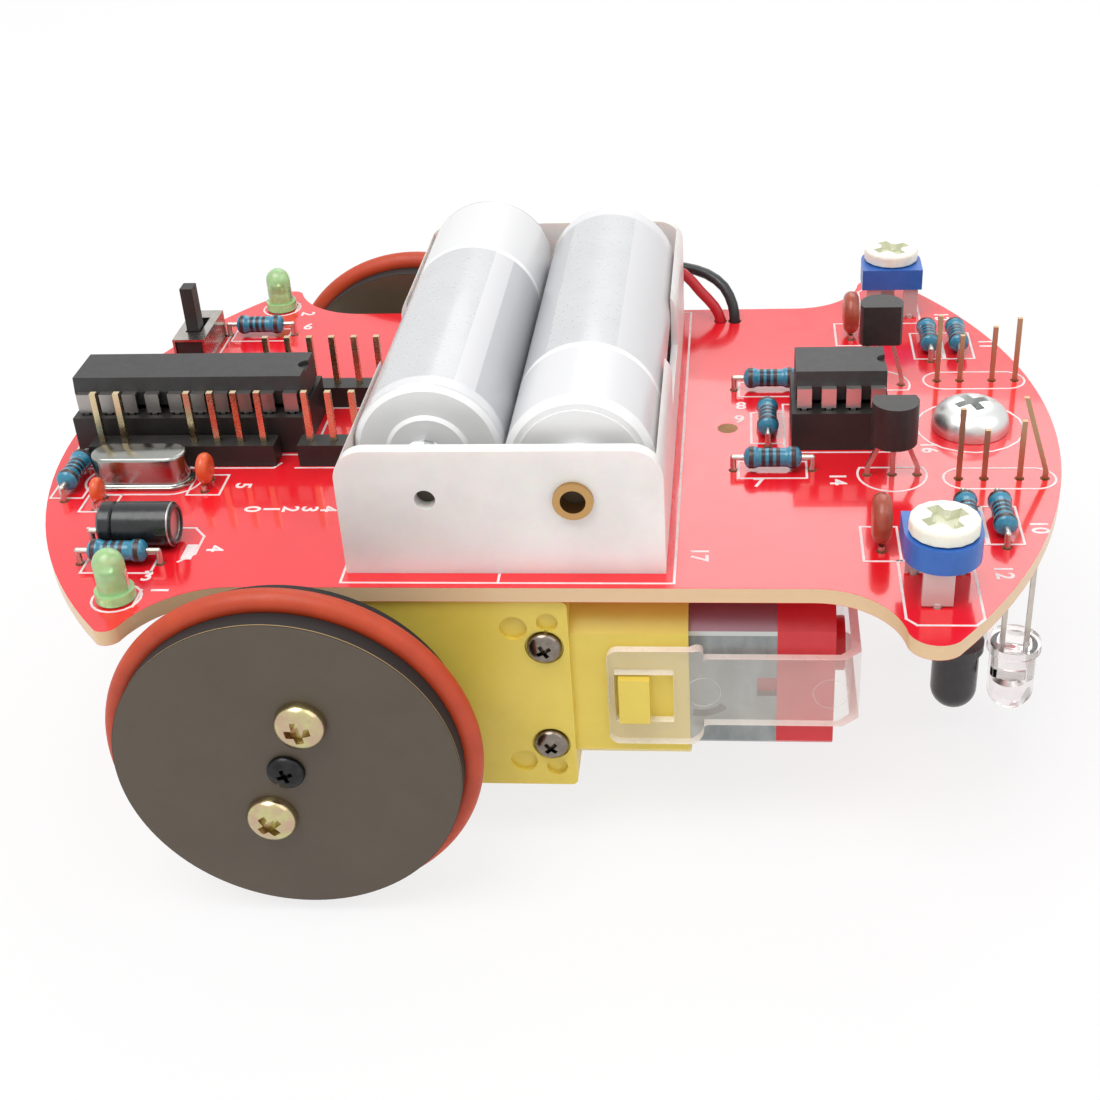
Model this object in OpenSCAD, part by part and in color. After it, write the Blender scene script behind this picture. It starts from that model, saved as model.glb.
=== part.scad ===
// Line follower robot: a red circuit board on two geared motors with acrylic disc wheels,
// a screw caster at the front and two infrared sensor pairs that look at the floor.
// Millimetres. The floor is z = 0, +X is forward, +Y is the robot's left.

/* [Board] */
// Length of the board from its rear edge to its front edge
board_len = 107.7; // [100:0.1:118]
// Half of the board's width along its straight sides
board_half_w = 31.4; // [30:0.1:33.5]
// Thickness of the board
board_t = 1.6; // [1.2:0.1:1.7]
// Radius of the curved rear edge
rear_r = 57; // [56:0.5:58]
// Radius of the curved front edge
front_r = 62.5; // [62:0.5:63.5]
// Radius of the rear corner of the wheel gap
rear_arch_r = 9.7; // [9.2:0.1:10]
// Radius of the front corner of the wheel gap
front_arch_r = 8; // [7.5:0.1:8.3]

/* [Wheels] */
// Radius of the two outer discs of a wheel
disc_r = 16.5; // [16.3:0.1:16.7]
// Thickness of each outer disc
disc_t = 2; // [1.8:0.1:2]
// Thickness of the core disc that the tyre ring sits on
core_t = 2.5; // [2.4:0.05:2.6]
// Thickness of the rubber tyre ring
tyre_section = 2.44; // [2.3:0.02:2.44]
// Distance of the wheel axle behind the middle of the board
axle_back = 21.6; // [21:0.1:22]
// Distance of the outer wheel faces from the middle of the robot
wheel_face_y = 42.6; // [42.4:0.1:43]

/* [Drive] */
// Thickness of a gearbox, measured along its axle
box_w = 18.8; // [18.8:0.1:19]
// Height of a gearbox
box_h = 22.3; // [22:0.1:25]
// Thickness of the foam pad between a gearbox and the board
pad_t = 0.35; // [0.2:0.05:2]
// Distance of a gearbox's middle plane from the middle of the robot
drive_y = 21.5; // [21.4:0.1:22]
// Module of the gear teeth
gear_module = 0.38; // [0.37:0.005:0.38]
// Diameter across the round sides of a motor can
can_d = 20.1; // [19.9:0.1:20.1]
// Thickness across the flat sides of a motor can
can_flat = 15.1; // [14.9:0.1:15.1]

/* [Battery] */
// Diameter of a cell
cell_d = 14.4; // [14.2:0.1:14.4]
// Length of a cell with its button
cell_len = 50.4; // [50:0.1:50.5]
// Room for the pressed spring at a cell's flat end
spring_room = 3.75; // [3.4:0.05:5]
// Thickness of the holder's side walls
holder_side_t = 0.7; // [0.6:0.1:1.2]
// Thickness of the holder's end walls
holder_end_t = 1.4; // [1.2:0.1:2]
// Height of the holder's end walls
holder_h = 13.2; // [12:0.1:14]
// Distance of the holder's middle behind the middle of the board
holder_back = 1.7; // [1.6:0.1:1.8]

/* [Caster] */
// Distance of the caster screw behind the front edge of the board
caster_back = 8.85; // [8.6:0.05:9.1]
// Nominal diameter of the caster screw
caster_d = 4; // [3.8:0.1:4]
// Diameter of the caster screw's head
caster_head_d = 8.1; // [7.6:0.1:8.4]

/* [Electronics] */
// Spacing of chip legs and header pins
pitch = 2.54; // [2.52:0.01:2.56]
// Spacing of a resistor's two holes
resistor_pitch = 8.1; // [8:0.1:8.4]
// Height of the header pins over the board
pin_top = 8.3; // [8:0.1:9]
// Travel of the slide switch's lever
switch_travel = 2; // [1.6:0.1:2]
// Height of the switch lever over the board
lever_top = 9; // [8:0.1:10]
// Diameter of a trimmer's dial
dial_d = 6.4; // [6:0.1:6.6]
// Distance of the sensors' tips below the top of the board
sensor_drop = 28.6; // [28:0.1:29]

/* [Hidden] */
$fn = 48;

// Heights over the floor
tyre_ring_r = disc_r + 0.4;
tyre_r = tyre_section / 2;
axle_z = tyre_ring_r + tyre_r;
axle_drop = board_t + pad_t + box_h / 2;
board_top = axle_z + axle_drop;

// Clearances
fit = 0.05;
shaft_fit = 0.06;

// Board outline
rear_x = -board_len / 2;
front_x = board_len / 2;
rear_cx = rear_x + rear_r;
front_cx = front_x - front_r;
arch_rear_x = -axle_back - 5.9;
arch_front_x = front_x - 26.45;
arch_reach = 60;
rear_tip_r = 1.4;
front_tip_r = 2.7;
tip_lap = 0.03;
// The middle of a rounded horn tip, which laps the board's edge and the wheel gap's corner by a hair
function tip_middle(edge_x, edge_r, arch_x, arch_r, tip_r, side) =
    let (
        arch_y = board_half_w + arch_r,
        span = norm([arch_x - edge_x, arch_y]),
        inner = edge_r - tip_r + tip_lap,
        along = (inner * inner - pow(arch_r + tip_r - tip_lap, 2) + span * span) / (2 * span),
        aside = side * sqrt(inner * inner - along * along),
        u = [arch_x - edge_x, arch_y] / span
    )
    [edge_x + along * u[0] + aside * u[1], along * u[1] - aside * u[0]];
front_tip = tip_middle(front_cx, front_r, arch_front_x, front_arch_r, front_tip_r, 1);
rear_tip = tip_middle(rear_cx, rear_r, arch_rear_x, rear_arch_r, rear_tip_r, -1);

// Board holes
lead_hole_r = 0.5;
wire_hole_r = 0.8;
pilot_r = 1.1;
caster_x = front_x - caster_back;
caster_hole_r = caster_d / 2 + 0.15;

// Soldered leads
lead_r = 0.3;
square_lead_w = 0.5;
splay_z = 0.9;
solder_r = 0.85;
solder_h = 1.1;

// Chips in their sockets: places along the board, leg counts and body lengths
row_y = 1.5 * pitch;
mcu_x = rear_x + 14.85;
mcu_legs = 10;
mcu_len = 25.2;
comp_x = front_x - 22.85;
comp_legs = 4;
comp_len = 9.4;
socket_h = 4.3;
socket_w = 10;
chip_bottom = 4.9;
chip_top = 8.2;
chip_half_w = 3.2;
leg_t = 0.25;
leg_y = row_y + 0.12;

// Resistors: x, y and the turn of the body about the vertical
resistors_at = [
    [rear_x + 13.95, -27.3, 0], [rear_x + 3.95, -11.2, 90], [rear_x + 14.95, 25.3, 0],
    [front_x - 30, 9.2, 0], [front_x - 30.4, 0, 90], [front_x - 30, -9.2, 0],
    [front_x - 11.45, 20.2, 90], [front_x - 8.15, 20.2, 90],
    [front_x - 11.45, -20.2, 90], [front_x - 8.15, -20.2, 90]
];
resistor_len = 6;
resistor_r = 1.15;
resistor_z = 1.5;

// Ceramic disc capacitors: x, y, radius, thickness
discs_at = [
    [rear_x + 8, -15.8, 1.3, 1.05], [rear_x + 18.45, -12, 1.65, 1.4],
    [front_x - 19.95, -23.6, 2.5, 1.8], [front_x - 20.25, 23.6, 2.5, 1.8]
];
disc_lift = 0.4;

// Crystal
crystal_x = rear_x + 11.25;
crystal_y = -11;
crystal_len = 10.2;
crystal_w = 3.8;
crystal_h = 3.6;
crystal_rim = 0.42;
crystal_pitch = 4.88;

// Electrolytic capacitor, lying along X
can_cap_x = rear_x + 11.45;
can_cap_y = -23.7;
can_cap_r = 2.25;
can_cap_len = 7.5;
can_cap_z = can_cap_r + 0.1;
can_cap_hole_x = can_cap_x - 0.8;

// Indicator lamps
lamp_x = rear_x + 15.55;
lamp_y = board_half_w + 2;
lamp_r = 1.5;
lamp_h = 5.3;
lamp_lift = 0.15;

// Transistors: x, y, height of the body's underside, turn about the vertical
transistors_at = [[front_x - 17.85, -10.2, 3.9, 0], [front_x - 17.85, 10.2, 5.4, 180]];
transistor_r = 2.35;
transistor_h = 4.6;
transistor_flat = 1.2;

// Infrared sensors
sensor_y = 11.1;
receiver_x = front_x - 9.98;
emitter_x = front_x - 3.9;
sensor_r = 2.5;
sensor_flange_r = 2.9;
sensor_len = 8.6;
sensor_top = sensor_len - sensor_drop;

// Slide switch
switch_x = rear_x + 8.55;
switch_y = 20.9;
switch_len = 8.6;
switch_w = 3.9;
switch_h = 3.5;
switch_sheet = 0.28;
lever_len = 1.9;
lever_w = 1.5;
switch_pins = [-2.5, 0, 2.5];

// Trimmers
trimmer_x = front_x - 15.15;
trimmer_y = board_half_w + 0.1;
trimmer_bottom = 3.8;
trimmer_top = 6.3;
trimmer_r = 3.55;
dial_top = 7.8;
dial_spindle_r = 0.9;
trimmer_pair_x = [trimmer_x - 2.1, trimmer_x + 2.3];
trimmer_pair_y = trimmer_y - 2.9;
trimmer_single_x = trimmer_x - 0.5;
trimmer_single_y = trimmer_y + 2.7;
trimmer_pin_r = 0.4;

// Battery bay
holder_floor = 2.5;
holder_corner_r = 3;
holder_gap_half = 7.5;
holder_gap_z = 6.5;
cell_r = cell_d / 2;
cell_step = cell_d + 0.3;
cell_z = holder_floor + fit + cell_r;
contact_t = 0.4;
contact_half = 5;
contact_top = holder_h - 0.3;
contact_face = (cell_len + fit + spring_room) / 2;
bay_half = contact_face + contact_t;
holder_len = 2 * (bay_half + holder_end_t);
holder_w = cell_step + cell_d + 2 * (fit + holder_side_t);
holder_x = -holder_back;
holder_front = holder_x + holder_w / 2;
holder_rear = holder_x - holder_w / 2;
pilot_x = holder_front + 5.55;
eyelet_r = 1.5;
eyelet_flange_r = 1.9;
spring_wire_r = 0.35;
spring_turns = 2.75;
spring_big_r = 3;
spring_small_r = 1.6;
spring_sink = 0.04;
spring_rise = spring_room + spring_sink - fit - 2 * spring_wire_r;
spring_rings = 50;
spring_sides = 6;

// Header strips beside the holder: first pin, side, pins in the strip
near_pins = [0, 1, 4, 5, 6, 7, 9, 10, 11];
far_pins = [0, 1, 2, 3, 4, 5];
near_pin_gap = 3.06;
far_pin_gap = 3;
near_row_y = -6.8;
near_row_x = holder_rear - near_pin_gap - max(near_pins) * pitch;
far_row_y = 6.8;
far_row_x = holder_rear - far_pin_gap - max(far_pins) * pitch;
strips = [[near_row_x, near_row_y, 8], [near_row_x + 9 * pitch, near_row_y, 3], [far_row_x, far_row_y, 6]];
pin_w = 0.64;
strip_h = 2.5;

// Battery leads: hand-laid routes, heights over the board
wire_r = 0.65;
wire_sides = 8;
rivet_r = 1.6;
rivet_h = 0.5;
rivet_step = 13.85;
rivet_z = 8.1;
rivet_y = holder_len / 2 + rivet_h;
red_hole = [holder_front + 4.47, board_half_w - 3.47];
black_hole = [holder_front + 6.2, board_half_w - 3.5];
red_start = [holder_x - rivet_step / 2, rivet_y, rivet_z];
black_start = [holder_x + rivet_step / 2, rivet_y, rivet_z];
// Each bend of a lead is given from its rivet, and the last bends from its hole
red_bends = [
    [0, 1.35, 0], [0.4, 2.35, -0.1], [1.425, 2.95, -0.4], [2.925, 2.95, -0.85],
    [5.025, 2.65, -1.45], [7.725, 2.45, -2.1], [10.925, 2.35, -2.6], [14.225, 2.3, -2.75],
    [17.425, 2.15, -2.65], [20.025, 1.75, -2.6], [22.175, 1, -2.8]
];
red_drop = [[-2.5, 1.2, 3.5], [-0.75, 0.4, 1.8], [0, 0, 0.2], [0, 0, -board_t]];
black_bends = [
    [0, 1.3, 0], [-0.725, 3, 0.3], [-2.325, 4.1, 0.9], [-4.175, 4.5, 1.45],
    [-5.775, 4.55, 1.75], [-7.275, 4.55, 1.5], [-8.425, 4.5, 0.55], [-8.875, 4.45, -0.9],
    [-8.275, 4.45, -2.35], [-6.675, 4.45, -3.15], [-3.975, 4.5, -3.35], [-0.575, 4.5, -3.3],
    [3.025, 4.45, -3.25], [5.875, 4.15, -3.15], [8.425, 3.4, -3.05]
];
black_drop = [[-3.4, 3.4, 4.8], [-1.3, 1.9, 3.7], [-0.25, 0.6, 1.9], [0, 0, 0.2], [0, 0, -board_t]];
function lead_route(start, bends, hole, drop) = concat(
    [start],
    [for (b = bends) start + b],
    [for (d = drop) [hole[0] + d[0], hole[1] + d[1], d[2]]]
);

// Caster
caster_r = caster_d / 2;
caster_head_h = 3.1;
nut_flats_r = 3.5 / cos(30);
nut_h = 3.2;
cap_hex_h = 4.4;
cap_dome_r = 3.2;
cap_h = 8;
cap_depth = 5.6;

// Drive, in the frame of one gearbox: x from the axle, y outward from its middle plane, z from the axle
box_rear = -11.2;
box_front = 25.8;
box_wall = 1.5;
box_corner_r = 0.6;
half_w = box_w / 2;
cavity_half = half_w - box_wall;
sleeve_front = 37.2;
sleeve_wall = 1.1;
ear_len = 4.8;
ear_half_h = 2.6;
ear_half_t = 1.3;
ear_hole_r = 1.55;
screw_posts = [[23.4, 5.9, 1.8], [23.4, -5.9, 1.8], [-8.9, 7.6, 2], [-8.9, -7.6, 2]];
screw_r = 0.95;
screw_head_r = 1.7;
screw_head_h = 1.2;
screw_sink = 0.3;
mould_marks = [[-2.9, 2.2, 1.35], [0.4, 2.9, 1.05]];
mould_mark_depth = 0.5;
hook_x = [30.4, 33.4];
hook_half_h = 2.6;
strap_x = 29.3;
strap_wide_x = 38.6;
strap_wide = 5.6;
strap_narrow = 4;
strap_corner_r = 1.1;
strap_window_x = [hook_x[0] - 0.4, 35.7];
strap_window_half = hook_half_h + 0.25;
strap_t = 0.9;
strap_end_x = 52.9;
can_x = [26, 45.7];
can_wall = 0.8;
cap_x = 51.3;
motor_shaft_r = 1;
front_boss_r = 3;
front_boss_x = 24.4;
rear_boss_r = 2.8;
rear_boss_x = 52.6;
magnet_x = [29, 41];
armature_x = [30, 40];
armature_r = 6;

// Gear train: output wheel, middle gear and crown gear stand one gear step apart
wheel_teeth = 36;
pinion_teeth = 9;
crown_teeth = 30;
motor_teeth = 10;
gear_step = gear_module * (wheel_teeth + pinion_teeth) / 2;
middle_x = gear_step;
crown_x = 2 * gear_step;
crown_pitch_r = gear_module * crown_teeth / 2;
motor_pitch_r = gear_module * motor_teeth / 2;
crown_face = -(motor_pitch_r + 0.85);
crown_tip = -(motor_pitch_r - 0.28);
crown_tooth_half = 0.2;
crown_tooth_x = [crown_pitch_r - 0.5, crown_pitch_r + 0.5];
backlash = 0.1;
motor_backlash = 0.16;
tooth_root = 0.52;
relieved_below = 17;
root_relief = 5.7;
pressure = 20;
gear_pin_r = 0.8;
pin_socket = 0.8;
journal_r = 2.7;
spindle_r = 1.1;
shaft_flat = 1.85;

// Wheel, in the same frame
face_out = wheel_face_y - drive_y;
disc_out = face_out - disc_t;
core_in = disc_out - core_t;
disc_in = core_in - disc_t;
core_r = tyre_ring_r - tyre_r - 0.03;
shaft_end = disc_out - 0.1;
bolt_ring_r = 6;
bolt_turns = [69, 249];
bolt_r = 1.2;
bolt_head_r = 2.3;
bolt_head_h = 1.7;
bolt_nut_r = 2.5 / cos(30);
bolt_nut_h = 2;
axle_screw_r = 0.95;
axle_head_r = 1.8;
axle_head_h = 1;
axle_screw_len = 8;

// Frames

module on_board() {
    translate([0, 0, board_top]) children();
}

module drive(side) {
    mirror([0, side < 0 ? 1 : 0, 0])
        translate([-axle_back, drive_y, axle_z])
            children();
}

// A flat shape drawn in x and z, given a thickness from one y to another
module slab(y0, y1) {
    translate([0, y1, 0])
        rotate([90, 0, 0])
            linear_extrude(height = y1 - y0)
                children();
}

// A round bar along y
module rod(y0, y1, r) {
    translate([0, y0, 0])
        rotate([-90, 0, 0])
            cylinder(h = y1 - y0, r = r);
}

// A flat shape drawn in y and z, given a length from one x to another
module bar_x(x0, x1) {
    translate([x0, 0, 0])
        rotate([90, 0, 90])
            linear_extrude(height = x1 - x0)
                children();
}

// Small shapes

module straight(a, b, r) {
    d = b - a;
    span = norm(d);
    translate(a)
        rotate([0, acos(d[2] / span), atan2(d[1], d[0])])
            cylinder(h = span, r = r, $fn = 24);
}

// A wire through a list of points, with a rounded knuckle at each bend
module wire(pts, r) {
    for (i = [0 : len(pts) - 2]) {
        straight(pts[i], pts[i + 1], r);
    }
    if (len(pts) > 2) {
        for (i = [1 : len(pts) - 2]) {
            translate(pts[i]) sphere(r = 1.04 * r, $fn = 24);
        }
    }
}

// A square lead standing at one y, through points in x and z
module square_lead(y, pts, w) {
    last = len(pts) - 1;
    translate([0, y, 0])
        slab(-w / 2, w / 2)
            polygon(concat(
                [for (p = pts) [p[0] - w / 2, p[1]]],
                [for (i = [last : -1 : 0]) [pts[i][0] + w / 2, pts[i][1]]]
            ));
}

module rounded_rect(x0, x1, z0, z1, r) {
    translate([x0 + r, z0]) square([x1 - x0 - 2 * r, z1 - z0]);
    translate([x0, z0 + r]) square([x1 - x0, z1 - z0 - 2 * r]);
    for (x = [x0 + r, x1 - r]) {
        for (z = [z0 + r, z1 - r]) {
            translate([x, z]) circle(r = r);
        }
    }
}

// Half of a lamp's outline: flange, body and dome
module lamp_half(r, flange_r, flange_h, h) {
    square([flange_r, flange_h]);
    square([r, h - r]);
    intersection() {
        translate([0, h - r]) circle(r = r);
        square([r, h]);
    }
}

// A swept tube through route points, as one closed surface
function unit(v) = v / norm(v);
function heading(pts, i) =
    let (last = len(pts) - 1)
    unit(pts[min(i + 1, last)] - pts[max(i - 1, 0)]);
function ring(pts, i, r, sides) =
    let (t = heading(pts, i), side = unit(cross(t, [1, 1, 1])), up = cross(side, t))
    [for (k = [0 : sides - 1]) pts[i] + r * (cos(360 * k / sides) * side + sin(360 * k / sides) * up)];
function tube_points(pts, r, sides) = [for (i = [0 : len(pts) - 1]) each ring(pts, i, r, sides)];
function tube_faces(rings, sides) = concat(
    [[for (k = [0 : sides - 1]) k]],
    [for (i = [0 : rings - 2]) for (k = [0 : sides - 1])
        [i * sides + k, (i + 1) * sides + k,
         (i + 1) * sides + (k + 1) % sides, i * sides + (k + 1) % sides]],
    [[for (k = [sides - 1 : -1 : 0]) (rings - 1) * sides + k]]
);

module tube(pts, r, sides) {
    polyhedron(points = tube_points(pts, r, sides), faces = tube_faces(len(pts), sides), convexity = 6);
}

// Gear outlines: involute flanks on a radial root
function inv(a) = tan(a) * 180 / PI - a;
function flank(r, pitch_r, half, root, relief) =
    let (base = pitch_r * cos(pressure))
    r >= base ? half + inv(pressure) - inv(acos(base / r))
        : half + inv(pressure) - relief * (base - r) / (base - root);
function tooth_radii(pitch_r, tip, root) =
    let (base = max(pitch_r * cos(pressure), root))
    concat(root < base ? [root] : [], [base, (base + pitch_r) / 2, pitch_r + (tip - pitch_r) / 2, tip]);
function gear_outline(teeth, addendum, slack) =
    let (
        pitch_r = gear_module * teeth / 2,
        root = pitch_r - tooth_root,
        tip = pitch_r + addendum,
        half = 90 / teeth - slack / 2 / pitch_r * 180 / PI,
        relief = teeth < relieved_below ? root_relief : 0,
        radii = tooth_radii(pitch_r, tip, root),
        n = len(radii)
    )
    [for (k = [0 : teeth - 1]) for (i = [0 : 2 * n - 1])
        let (
            r = radii[i < n ? i : 2 * n - 1 - i],
            a = 360 * k / teeth + (i < n ? -1 : 1) * flank(r, pitch_r, half, root, relief)
        )
        r * [cos(a), sin(a)]];

module gear(teeth, addendum, slack) {
    polygon(gear_outline(teeth, addendum, slack));
}

// Holes of the soldered parts

function pair(x, y, step, turn) =
    [for (s = [-1, 1]) [x + (turn == 0 ? s * step / 2 : 0), y + (turn == 0 ? 0 : s * step / 2)]];
function chip_holes(x, legs) =
    [for (i = [0 : legs - 1]) for (s = [-1, 1]) [x + (i - (legs - 1) / 2) * pitch, s * row_y]];

resistor_holes = [for (r = resistors_at) each pair(r[0], r[1], resistor_pitch, r[2])];
disc_holes = [for (d = discs_at) each pair(d[0], d[1], pitch, 90)];
can_cap_holes = pair(can_cap_hole_x, can_cap_y, pitch, 90);
crystal_holes = pair(crystal_x, crystal_y, crystal_pitch, 0);
lamp_holes = [for (s = [-1, 1]) each pair(lamp_x, s * lamp_y, pitch, 0)];
transistor_holes = [for (t = transistors_at) for (k = [-1, 0, 1]) [t[0] + k * pitch, t[1]]];
header_holes = concat(
    [for (k = near_pins) [near_row_x + k * pitch, near_row_y]],
    [for (k = far_pins) [far_row_x + k * pitch, far_row_y]]
);
switch_holes = [for (p = switch_pins) [switch_x, switch_y + p]];
trimmer_holes = [for (s = [-1, 1]) each concat(
    [for (x = trimmer_pair_x) [x, s * trimmer_pair_y]],
    [[trimmer_single_x, s * trimmer_single_y]]
)];
sensor_holes = [for (s = [-1, 1]) for (x = [receiver_x, emitter_x]) each pair(x, s * sensor_y, pitch, 0)];
soldered_holes = concat(
    resistor_holes, disc_holes, can_cap_holes, crystal_holes, lamp_holes, transistor_holes, header_holes,
    switch_holes, trimmer_holes, chip_holes(mcu_x, mcu_legs), chip_holes(comp_x, comp_legs)
);
wire_holes = [red_hole, black_hole];

// Board

// The corner beyond a rounded horn tip, between two directions from the tip's middle
module beyond_tip(middle, r, from, to) {
    steps = 4;
    translate(middle)
        difference() {
            polygon(concat([[0, 0]], [for (i = [0 : steps])
                let (a = from + (to - from) * i / steps)
                arch_reach * [cos(a), sin(a)]]));
            circle(r = r);
        }
}

// An angle counted from 0 to 360 degrees
function full_angle(a) = a < 0 ? a + 360 : a;

// What is cut from one side of the board: the wheel gap and the corners of its two horns
module side_cut() {
    translate([arch_rear_x, board_half_w])
        square([arch_front_x - arch_rear_x, arch_reach]);
    translate([arch_rear_x, board_half_w + rear_arch_r]) {
        circle(r = rear_arch_r);
        translate([-rear_arch_r, 0]) square([rear_arch_r, arch_reach]);
    }
    translate([arch_front_x, board_half_w + front_arch_r]) {
        circle(r = front_arch_r);
        square([front_arch_r, arch_reach]);
    }
    beyond_tip(front_tip, front_tip_r,
        atan2(front_tip[1], front_tip[0] - front_cx),
        full_angle(atan2(board_half_w + front_arch_r - front_tip[1], arch_front_x - front_tip[0])));
    beyond_tip(rear_tip, rear_tip_r,
        atan2(board_half_w + rear_arch_r - rear_tip[1], arch_rear_x - rear_tip[0]),
        atan2(rear_tip[1], rear_tip[0] - rear_cx));
}

module board_outline() {
    difference() {
        intersection() {
            translate([rear_cx, 0]) circle(r = rear_r, $fn = 160);
            translate([front_cx, 0]) circle(r = front_r, $fn = 160);
        }
        side_cut();
        mirror([0, 1]) side_cut();
    }
}

module main_board() {
    color("#d9232f")
        translate([0, 0, board_top - board_t])
            linear_extrude(height = board_t)
                difference() {
                    board_outline();
                    for (h = concat(soldered_holes, sensor_holes)) {
                        translate(h) circle(r = lead_hole_r, $fn = 16);
                    }
                    for (h = wire_holes) {
                        translate(h) circle(r = wire_hole_r, $fn = 24);
                    }
                    translate([caster_x, 0]) circle(r = caster_hole_r);
                    translate([pilot_x, 0]) circle(r = pilot_r);
                }
}

module solder_joints() {
    color("silver")
        translate([0, 0, board_top - board_t - solder_h])
            for (h = concat(soldered_holes, wire_holes)) {
                translate(h) cylinder(h = solder_h, r1 = lead_r, r2 = solder_r, $fn = 20);
            }
}

// Chips and sockets

module socket(x, legs) {
    len = legs * pitch;
    rail = 2.5;
    leg_r = 0.25;
    pocket = [0.9, 0.66, 2];
    translate([x, 0, 0])
        difference() {
            union() {
                translate([-len / 2, -socket_w / 2, 0]) cube([len, socket_w, socket_h]);
                for (h = chip_holes(0, legs)) {
                    translate([h[0], h[1], -board_t]) cylinder(h = board_t + 0.5, r = leg_r, $fn = 20);
                }
            }
            translate([-len / 2 + rail / 2, -socket_w / 2 + rail, -board_t])
                cube([len - rail, socket_w - 2 * rail, board_t + socket_h + 1]);
            for (h = chip_holes(0, legs)) {
                translate([h[0] - pocket[0] / 2, sign(h[1]) * leg_y - pocket[1] / 2, socket_h - pocket[2]])
                    cube(pocket + [0, 0, 1]);
            }
        }
}

module chip(x, legs, len) {
    mid = (chip_bottom + chip_top) / 2;
    draft = 0.25;
    notch_r = 0.9;
    shoulder_w = 1.52;
    leg_w = 0.5;
    leg_bottom = socket_h - 1.6;
    translate([x, 0, 0]) {
        difference() {
            bar_x(-len / 2, len / 2)
                polygon([
                    [-chip_half_w + draft, chip_bottom], [chip_half_w - draft, chip_bottom],
                    [chip_half_w, mid], [chip_half_w - draft, chip_top],
                    [-chip_half_w + draft, chip_top], [-chip_half_w, mid]
                ]);
            translate([len / 2, 0, chip_top - 0.5]) cylinder(h = 1, r = notch_r);
        }
        for (i = [0 : legs - 1]) {
            for (s = [0, 1]) {
                mirror([0, s, 0])
                    translate([(i - (legs - 1) / 2) * pitch, 0, 0]) {
                        translate([-shoulder_w / 2, chip_half_w - 0.1, mid - leg_t / 2])
                            cube([shoulder_w, leg_y + leg_t / 2 - chip_half_w + 0.1, leg_t]);
                        translate([-shoulder_w / 2, leg_y - leg_t / 2, socket_h + 0.2])
                            cube([shoulder_w, leg_t, mid + leg_t / 2 - socket_h - 0.2]);
                        translate([-leg_w / 2, leg_y - leg_t / 2, leg_bottom])
                            cube([leg_w, leg_t, socket_h + 0.3 - leg_bottom]);
                    }
            }
        }
    }
}

module chip_sockets() {
    color("#262422") on_board() {
        socket(mcu_x, mcu_legs);
        socket(comp_x, comp_legs);
    }
}

module microcontroller() {
    color("#34373a") on_board() chip(mcu_x, mcu_legs, mcu_len);
}

module comparator() {
    color("#34373a") on_board() chip(comp_x, comp_legs, comp_len);
}

// Soldered parts

module stadium(len, w) {
    square([len - w, w], center = true);
    for (s = [-1, 1]) {
        translate([s * (len - w) / 2, 0]) circle(r = w / 2);
    }
}

module crystal() {
    color("#c9ccca") on_board() translate([crystal_x, crystal_y, 0]) {
        linear_extrude(height = crystal_h) stadium(crystal_len, crystal_w);
        linear_extrude(height = crystal_rim) stadium(crystal_len + 0.85, crystal_w + 0.85);
    }
}

module ceramic_capacitors() {
    color("#c8642c") on_board()
        for (d = discs_at) {
            translate([d[0], d[1], d[2] + disc_lift])
                rotate([0, 90, 0])
                    rotate_extrude() {
                        translate([0, -d[3] / 2]) square([d[2] - d[3] / 2, d[3]]);
                        translate([d[2] - d[3] / 2, 0]) circle(r = d[3] / 2, $fn = 24);
                    }
        }
}

module electrolytic_capacitor() {
    groove_x = 1.5;
    groove = 0.2;
    rim = 0.3;
    color("#2b2b2d") on_board()
        translate([can_cap_x, can_cap_y, can_cap_z])
            rotate([0, 90, 0])
                rotate_extrude()
                    polygon([
                        [0, 0], [can_cap_r - rim, 0], [can_cap_r, rim], [can_cap_r, groove_x - groove],
                        [can_cap_r - groove, groove_x], [can_cap_r, groove_x + groove],
                        [can_cap_r, can_cap_len - rim], [can_cap_r - rim, can_cap_len],
                        [can_cap_r - 2 * rim, can_cap_len], [can_cap_r - 2 * rim, can_cap_len - rim],
                        [0, can_cap_len - rim]
                    ]);
}

module resistors() {
    half = resistor_len / 2;
    waist = 0.95;
    color("#3f7f9f") on_board()
        for (r = resistors_at) {
            translate([r[0], r[1], resistor_z])
                rotate([0, 90, r[2]])
                    rotate_extrude()
                        polygon([
                            [0, -half], [0.7, -half], [resistor_r, 0.45 - half], [resistor_r, 1.3 - half],
                            [waist, 1.7 - half], [waist, half - 1.7], [resistor_r, half - 1.3],
                            [resistor_r, half - 0.45], [0.7, half], [0, half]
                        ]);
        }
}

module resistor_leads() {
    for (r = resistors_at) {
        for (s = [-1, 1]) {
            translate([r[0], r[1], 0])
                rotate([0, 0, r[2]])
                    wire([
                        [s * resistor_len / 2, 0, resistor_z],
                        [s * resistor_pitch / 2, 0, resistor_z],
                        [s * resistor_pitch / 2, 0, -board_t]
                    ], lead_r);
        }
    }
}

module capacitor_leads() {
    for (d = discs_at) {
        near = pitch / 2 - lead_r;
        top = d[2] + disc_lift - sqrt(d[2] * d[2] - near * near) - 0.02;
        for (h = pair(d[0], d[1], pitch, 90)) {
            straight([h[0], h[1], -board_t], [h[0], h[1], top], lead_r);
        }
    }
    for (s = [-1, 1]) {
        y = can_cap_y + s * pitch / 2;
        wire([
            [can_cap_x, y, can_cap_z], [can_cap_hole_x, y, can_cap_z], [can_cap_hole_x, y, -board_t]
        ], lead_r);
    }
}

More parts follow.
